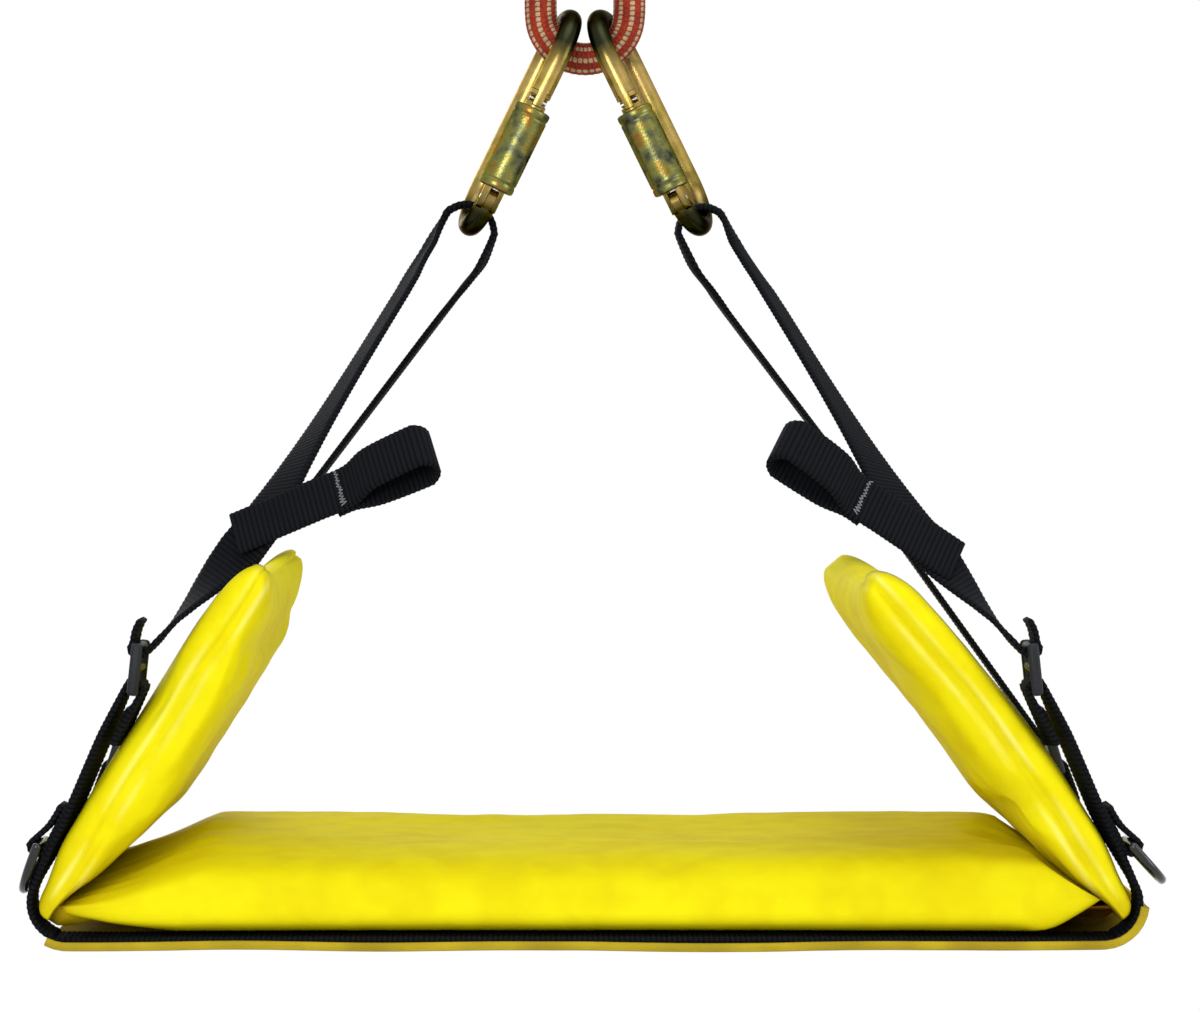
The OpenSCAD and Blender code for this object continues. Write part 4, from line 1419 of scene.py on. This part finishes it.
# %% Fold strips
FOLD_STEP = 2.5 * MM
FOLD_REACH = 20 * MM
FOLD_ROLL = 7.4 * MM
FOLD_SHORT = 9 * MM
ROLL_FROM = {"left": -1.0, "right": -0.088}
FOLD_COLUMNS = 25


def fold_strip(name, side, lean, roll_from):
    stations = round(2 * SEAT_HALF / FOLD_STEP) + 1
    seat_way = Vector((-side, 0, 0))
    wing_way = Vector((-side * math.cos(lean), 0, math.sin(lean)))
    wing_out = Vector((side * math.sin(lean), 0, math.cos(lean)))

    def place(station, column):
        share = station / (stations - 1)
        y = mixed(-1, 1, share) * (SEAT_HALF - FOLD_SHORT)
        end = quarter(min(share, 1 - share) * 25 + 0.1)
        outer = column < FOLD_COLUMNS
        k = column if outer else 2 * FOLD_COLUMNS - 1 - column
        reach = mixed(-FOLD_REACH, FOLD_REACH, k / (FOLD_COLUMNS - 1))
        way = wing_way if reach > 0 else seat_way
        out = Vector((0, 0, -1)).lerp(wing_out, ease(reach / (8 * MM) + 0.5)).normalized()
        ridge = 1 + 0.4 * wander(y * 70, k * 0.35, side * 3.0)
        taper = math.sqrt(max(0.0, 1 - (reach / FOLD_REACH) ** 2))
        roll = FOLD_ROLL * taper * ease((y - roll_from) / (6 * MM)) * ease(0.9 - reach / (16 * MM))
        thick = roll + (1.2 + 0.9 * ridge) * MM if outer else 0.2 * MM
        point = Vector((side * FOLD_X, y, FOLD_Z)) + way * abs(reach)
        return point + out * thick * end, Vector((reach, y, 0))

    return grid_sweep(name, stations, 2 * FOLD_COLUMNS, place)


for side_name, side in SIDES.items():
    strip = fold_strip(f"{side_name}_fold_strip", side, WING_LEAN[side_name], ROLL_FROM[side_name])
    # Painted crease shade over the strips, heavier on the right, where the pocket under the seat's corner
    # lies in shade.
    set_painted_light(strip, lambda point: (0.6 if side < 0 else 1.0) + 0.4 * noise(point * 140))
    smooth(strip, 70)
    dress(strip, YELLOW, None)
    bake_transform(strip)

# %% [markdown]
# ## Under-sheet
# A sheet of the same cloth lies under the straps and curls up round the seat's corners. It is cut
# larger than the seat and hemmed along its front and back. It is painted a darker ochre than the cover, as
# painted shade for its place under the seat.

# %% Under-sheet
SHEET_T = 1.6 * MM
SHEET_STEP = 4 * MM
HEM_W = 9 * MM
HEM_T = 3.4 * MM
HEM_LIFT = 1.6 * MM
HEM_STRAY = 1.2 * MM
SHEET_SWAY = 1 * MM
SHEET_R = CORNER_R + WEB_T / 2 + 2.2 * MM
CURLS = {-1: math.radians(28), 1: math.radians(84)}


def sheet_line():
    spots = []
    for side in (-1, 1):
        middle = Vector((-side * corner.x, corner.y))
        turn = [CURLS[side] * k / 10 for k in range(11)]
        arc = [middle + Vector((side * math.sin(a), -math.cos(a))) * SHEET_R for a in turn]
        spots += arc[::-1] if side < 0 else arc
    return spots


sheet_points = at_equal_steps([flat(spot, 0) for spot in sheet_line()], SHEET_STEP)
sheet_ways = ways_along(sheet_points)
sheet_length = length_of(sheet_points)
SHEET_COLUMNS = 66


def sheet_place(station, column):
    half_count = SHEET_COLUMNS // 2
    upper = column < half_count
    k = column if upper else SHEET_COLUMNS - 1 - column
    share = k / (half_count - 1)
    edge = abs(2 * share - 1)
    depth = mixed(-1, 1, 0.5 - 0.5 * math.cos(math.pi * share)) * SEAT_HALF
    hem = ease((abs(depth) - (SEAT_HALF - HEM_W)) / (2 * MM))
    thick = mixed(SHEET_T, HEM_T, hem) / 2 * (math.sqrt(max(0.0, 1 - edge**30)) * 0.85 + 0.15)
    way = sheet_ways[station]
    up = Vector((-way.z, 0, way.x))
    along = sheet_length * station / (len(sheet_points) - 1)
    front = ease((abs(depth) - 70 * MM) / (55 * MM))
    lift = HEM_LIFT * ease((abs(depth) - 117 * MM) / (6 * MM))
    sway = wander(along * 13, depth * 6, 4.4) * SHEET_SWAY * front + lift
    stray = wander(along * 30, math.copysign(2.0, depth), 1.1) * HEM_STRAY * front
    point = sheet_points[station] + up * (sway + (thick if upper else -thick))
    point.y = depth + math.copysign(stray, depth) * edge
    return point, Vector((depth, along, 1 if upper else -1))


sheet = grid_sweep("under_sheet_cloth", len(sheet_points), SHEET_COLUMNS, sheet_place)
# Patchy painted shade over the whole sheet.
set_painted_light(sheet, lambda point: 0.25 + 0.3 * noise(point * 60))
smooth(sheet, 60)
dress(sheet, UNDER_SEAT_SHADE_CLOTH, "chair", ["under_sheet"])
print("sheet length", round(sheet_length, 3))

# %% [markdown]
# ## Buckles, tabs and rings
# The buckles are moulded: three round bars between two rails with soft edges. The tool rings hang in short
# tabs of webbing that are sewn to the seat strap at the front corners.

# %% Moulded and painted black
BUCKLE_BLACK = rubber_finish("moulded_black", (0.008, 0.009, 0.011), 0.5, 0.2)
RING_BLACK = rubber_finish("enamel_black", (0.004, 0.004, 0.005), 0.14)

# %% Buckles
INNER_W = WEB_W + 2 * MM
RAIL_T = 4 * MM
RAIL_L = 2 * BAR_PITCH + BAR_D
RAIL_MORE = 1 * MM
RAIL_SOFT = 1.7 * MM


def buckle(name, hold, side, y):
    parts = []
    for i in range(3):
        bpy.ops.mesh.primitive_cylinder_add(
            vertices=32,
            radius=BAR_D / 2,
            depth=INNER_W + RAIL_T,
            location=(0, 0, i * BAR_PITCH),
            rotation=(math.pi / 2, 0, 0),
        )
        parts.append(bpy.context.object)
    for face in (-1, 1):
        bpy.ops.mesh.primitive_cube_add(size=1, location=(0, face * (INNER_W + RAIL_T) / 2, BAR_PITCH))
        rail = bpy.context.object
        rail.scale = (BAR_D + RAIL_MORE, RAIL_T, RAIL_L + RAIL_MORE)
        bpy.ops.object.transform_apply(location=False, rotation=False, scale=True)
        finish_with(rail, "BEVEL", width=RAIL_SOFT, segments=5)
        parts.append(rail)
    use(parts[0])
    for part in parts:
        part.select_set(True)
    bpy.ops.object.join()
    piece = bpy.context.object
    piece.name = name
    piece.data.name = name
    bpy.ops.object.transform_apply(location=True, rotation=True, scale=True)
    lean = Matrix.Rotation(-side * hold.stand, 4, "Y")
    piece.data.transform(Matrix.Translation((-side * hold.bar.x, y, hold.bar.y)) @ lean)
    smooth(piece, 40)
    return piece


for side_name, side in SIDES.items():
    for place_name, y, hold, loop_back in SEAT_STRAPS:
        piece = buckle(f"{side_name}_{place_name}_moulded_buckle", hold, side, y)
        dress(piece, BUCKLE_BLACK, "chair", [f"{side_name}_{place_name}_buckle"])

# %% Ring tabs
RING_D = 4 * MM
RING_W = 26 * MM
RING_GAP = RING_D / 2 + SOFT_GAP + WEB_T / 2
TAB_L = 20 * MM
RING_UP = 16 * MM
ring_at = corner + FRONT_HOLD.out * (CORNER_R + LAYER + RING_GAP) + FRONT_HOLD.up * RING_UP


def tab_rows():
    up = FRONT_HOLD.up
    out = FRONT_HOLD.out
    spots = [ring_at - out * RING_GAP + up * TAB_L]
    spots += arc(ring_at, -up, -out, RING_GAP, range(90, -91, -30))
    spots.append(ring_at - out * (RING_GAP - LAYER - 1 * MM) + up * TAB_L * 0.45)
    spots.append(ring_at - out * (RING_GAP - LAYER) + up * TAB_L * 0.8)
    spots.append(ring_at - out * (RING_GAP - LAYER) + up * TAB_L)
    return [(flat(spot, -STRAP_Y), DEPTH_WAY, RING_W - 2 * MM, 0) for spot in spots]


for side_name, side in SIDES.items():
    tab = strap(f"{side_name}_tab_webbing", on_side(tab_rows(), side))
    dress(tab, WEBBING, "chair", [f"{side_name}_ring_tab"])

# %% [markdown]
# ## Plated steel
# The carabiners are zinc plated and passivated yellow. That film is thin and uneven, so its tint wanders
# between brown, gold and olive. Both bends are painted dark, as a painted reflection of dark surroundings.
# The screw sleeves are an olive plating with a knurled grip.

# %% Plating
# The colour of the painted dark reflection in the bends.
DARK_BEND_REFLECTION = (0.022, 0.024, 0.012)
EDGE_TINT = (0.4, 0.37, 0.3)


def painted_dark_bends(tree, colour):
    """Paints a dark reflection onto a colour towards both bends of a carabiner, by the place along its
    length.
    """
    place = add(tree, "ShaderNodeTexCoord")
    split = add(tree, "ShaderNodeSeparateXYZ")
    side_way = add(tree, "ShaderNodeMath", operation="ABSOLUTE")
    along = add(tree, "ShaderNodeVectorMath", operation="DOT_PRODUCT")
    along.inputs[1].default_value = (eye_up.x, 0, -eye_up.y)
    folded = add(tree, "ShaderNodeCombineXYZ")
    tree.links.new(place.outputs["Object"], split.inputs[0])
    tree.links.new(split.outputs["X"], side_way.inputs[0])
    tree.links.new(side_way.outputs[0], folded.inputs["X"])
    tree.links.new(split.outputs["Z"], folded.inputs["Z"])
    tree.links.new(folded.outputs[0], along.inputs[0])
    start = abs(hang.x) * eye_up.x - hang.z * eye_up.y
    share = spread(tree, along.outputs["Value"], start, start + CARABINER_L, 0.0, 1.0)
    dark_bends = (1.0, 1.0, 1.0)
    plain = (0.0, 0.0, 0.0)
    amount = ramp(tree, share, (0.1, dark_bends), (0.24, plain), (0.74, plain), (0.86, dark_bends))
    return blend_colours(tree, amount, colour, DARK_BEND_REFLECTION)


def plated(name, tints, roughness, large, dark_bends=False):
    material, tree, shader = new_finish(name, tints[1], roughness, Metallic=1.0)
    shader.inputs["Specular Tint"].default_value = (*EDGE_TINT, 1)
    mottle = place_group(tree, MOTTLE, Large=large, Fine=large * 4)
    stops = [(0.36 + 0.28 * k / (len(tints) - 1), tint) for k, tint in enumerate(tints)]
    colour = ramp(tree, mottle, *stops)
    tree.links.new(painted_dark_bends(tree, colour) if dark_bends else colour, shader.inputs["Base Color"])
    wear = place_group(tree, MOTTLE, Large=160.0, Fine=900.0)
    rough_by(tree, shader, wear, roughness * 0.75, roughness * 1.4)
    bump(tree, shader, wear, 0.1, 0.0002)
    return material


ZINC_TINTS = [(0.2, 0.15, 0.035), (0.36, 0.26, 0.06), (0.44, 0.3, 0.1), (0.27, 0.22, 0.06)]
OLIVE_TINTS = [(0.02, 0.022, 0.014), (0.09, 0.095, 0.05), (0.19, 0.19, 0.05), (0.24, 0.11, 0.02)]
STEEL_TINTS = [(0.5, 0.5, 0.48), (0.72, 0.72, 0.68), (0.8, 0.8, 0.76)]
ZINC = plated("yellow_zinc", ZINC_TINTS, 0.3, 26.0, dark_bends=True)
OLIVE_ZINC = plated("olive_zinc", OLIVE_TINTS, 0.34, 34.0)
BRIGHT = plated("bright_steel", STEEL_TINTS, 0.2, 80.0)


def coat(node_name, material):
    """Gives a rigid piece of the frame its finish."""
    piece = nodes[node_name]
    piece.data.materials.clear()
    piece.data.materials.append(material)
    smooth(piece)


for side_name in SIDES:
    coat(f"{side_name}_carabiner_frame", ZINC)
    coat(f"{side_name}_gate", ZINC)
    coat(f"{side_name}_tool_ring", RING_BLACK)
    for pin in ("gate_pin", "latch_pin", "gate_spring", "gate_plunger"):
        coat(f"{side_name}_{pin}", BRIGHT)

# %% Knurled sleeves
SLEEVE_R = 8.5 * MM
SLEEVE_L = 41 * MM
SLEEVE_BORE = 5.3 * MM
SLEEVE_Z = -86.5 * MM
BEND_R = 22 * MM
KNURL = 0.24 * MM
KNURL_STARTS = 30
KNURL_PITCH = 1.8 * MM
KNURL_ROWS = 64
PLAIN_END = 5 * MM
GROOVE_AT = 4 * MM
GROOVE_WIDE = 0.6 * MM
GROOVE_DEEP = 0.5 * MM
SLEEVE_COLUMNS = 120
GATE_TURN = {"left": math.radians(-80), "right": math.radians(256)}


def sleeve_profile():
    """Radius and height round the wall, up the outside and down the bore, back to where it started."""
    outside = [(SLEEVE_BORE, 0), (SLEEVE_R - 1.2 * MM, 0), (SLEEVE_R - 0.3 * MM, 0.4 * MM)]
    for k in range(KNURL_ROWS + 1):
        outside.append((SLEEVE_R, mixed(1 * MM, SLEEVE_L - 1 * MM, k / KNURL_ROWS)))
    ends = [(SLEEVE_R - 0.3 * MM, SLEEVE_L - 0.4 * MM), (SLEEVE_R - 1.2 * MM, SLEEVE_L)]
    return outside + ends + [(SLEEVE_BORE, SLEEVE_L), (SLEEVE_BORE, SLEEVE_L / 2), (SLEEVE_BORE, 0)]


sleeve_wall = sleeve_profile()


def sleeve_place(station, column):
    radius, height = sleeve_wall[station]
    turn = 2 * math.pi * column / SLEEVE_COLUMNS
    grip = ease((height - PLAIN_END) / MM) * ease((SLEEVE_L - PLAIN_END - height) / MM)
    groove = bell(height - GROOVE_AT, GROOVE_WIDE)
    groove += bell(SLEEVE_L - GROOVE_AT - height, GROOVE_WIDE)
    if radius == SLEEVE_R:
        lead = height / KNURL_PITCH * math.pi
        cut = math.cos(KNURL_STARTS * turn / 2 + lead) * math.cos(KNURL_STARTS * turn / 2 - lead)
        radius += KNURL * grip * (abs(cut) - 1) - GROOVE_DEEP * groove
    point = Vector((radius * math.cos(turn), radius * math.sin(turn), height))
    return point, Vector((turn, height, 0))


for side_name, side in SIDES.items():
    sleeve = grid_sweep(f"{side_name}_knurled_sleeve", len(sleeve_wall), SLEEVE_COLUMNS, sleeve_place)
    top = Matrix.Translation(joints[f"{side_name}_carabiner_turn"]["pos_m"])
    tilt = Matrix.Rotation(-side * CARABINER_LEAN, 4, "Y") @ Matrix.Rotation(GATE_TURN[side_name], 4, "Z")
    sleeve.data.transform(top @ tilt @ Matrix.Translation((BEND_R, 0, SLEEVE_Z)))
    smooth(sleeve, 35)
    dress(sleeve, OLIVE_ZINC, f"{side_name}_sleeve", [f"{side_name}_sleeve"])

# %% [markdown]
# ## Inside the pads
# The filling is never seen, but it is there: foam over a plywood board in the seat, and foam over a plastic
# stiffener in each wing.

# %% Filling
FOAM = rubber_finish("cut_foam", (0.62, 0.58, 0.42), 0.9)
STIFFENER = rubber_finish("grey_sheet_plastic", (0.18, 0.19, 0.2), 0.45)


def plywood():
    material, tree, shader = new_finish("birch_plywood", (0.55, 0.39, 0.22), 0.6)
    place = add(tree, "ShaderNodeTexCoord")
    stretch = add(tree, "ShaderNodeMapping")
    stretch.inputs["Scale"].default_value = (4.0, 70.0, 70.0)
    grain = add(tree, "ShaderNodeTexNoise")
    grain.inputs["Scale"].default_value = 1.0
    tree.links.new(place.outputs["Object"], stretch.inputs["Vector"])
    tree.links.new(stretch.outputs["Vector"], grain.inputs["Vector"])
    colour_by(tree, shader, grain.outputs[0], (0.35, (0.44, 0.29, 0.15)), (0.65, (0.62, 0.46, 0.27)))
    return material


coat("seat_foam", FOAM)
coat("seat_board", plywood())
for side_name in SIDES:
    coat(f"{side_name}_wing_foam", FOAM)
    coat(f"{side_name}_wing_stiffener", STIFFENER)
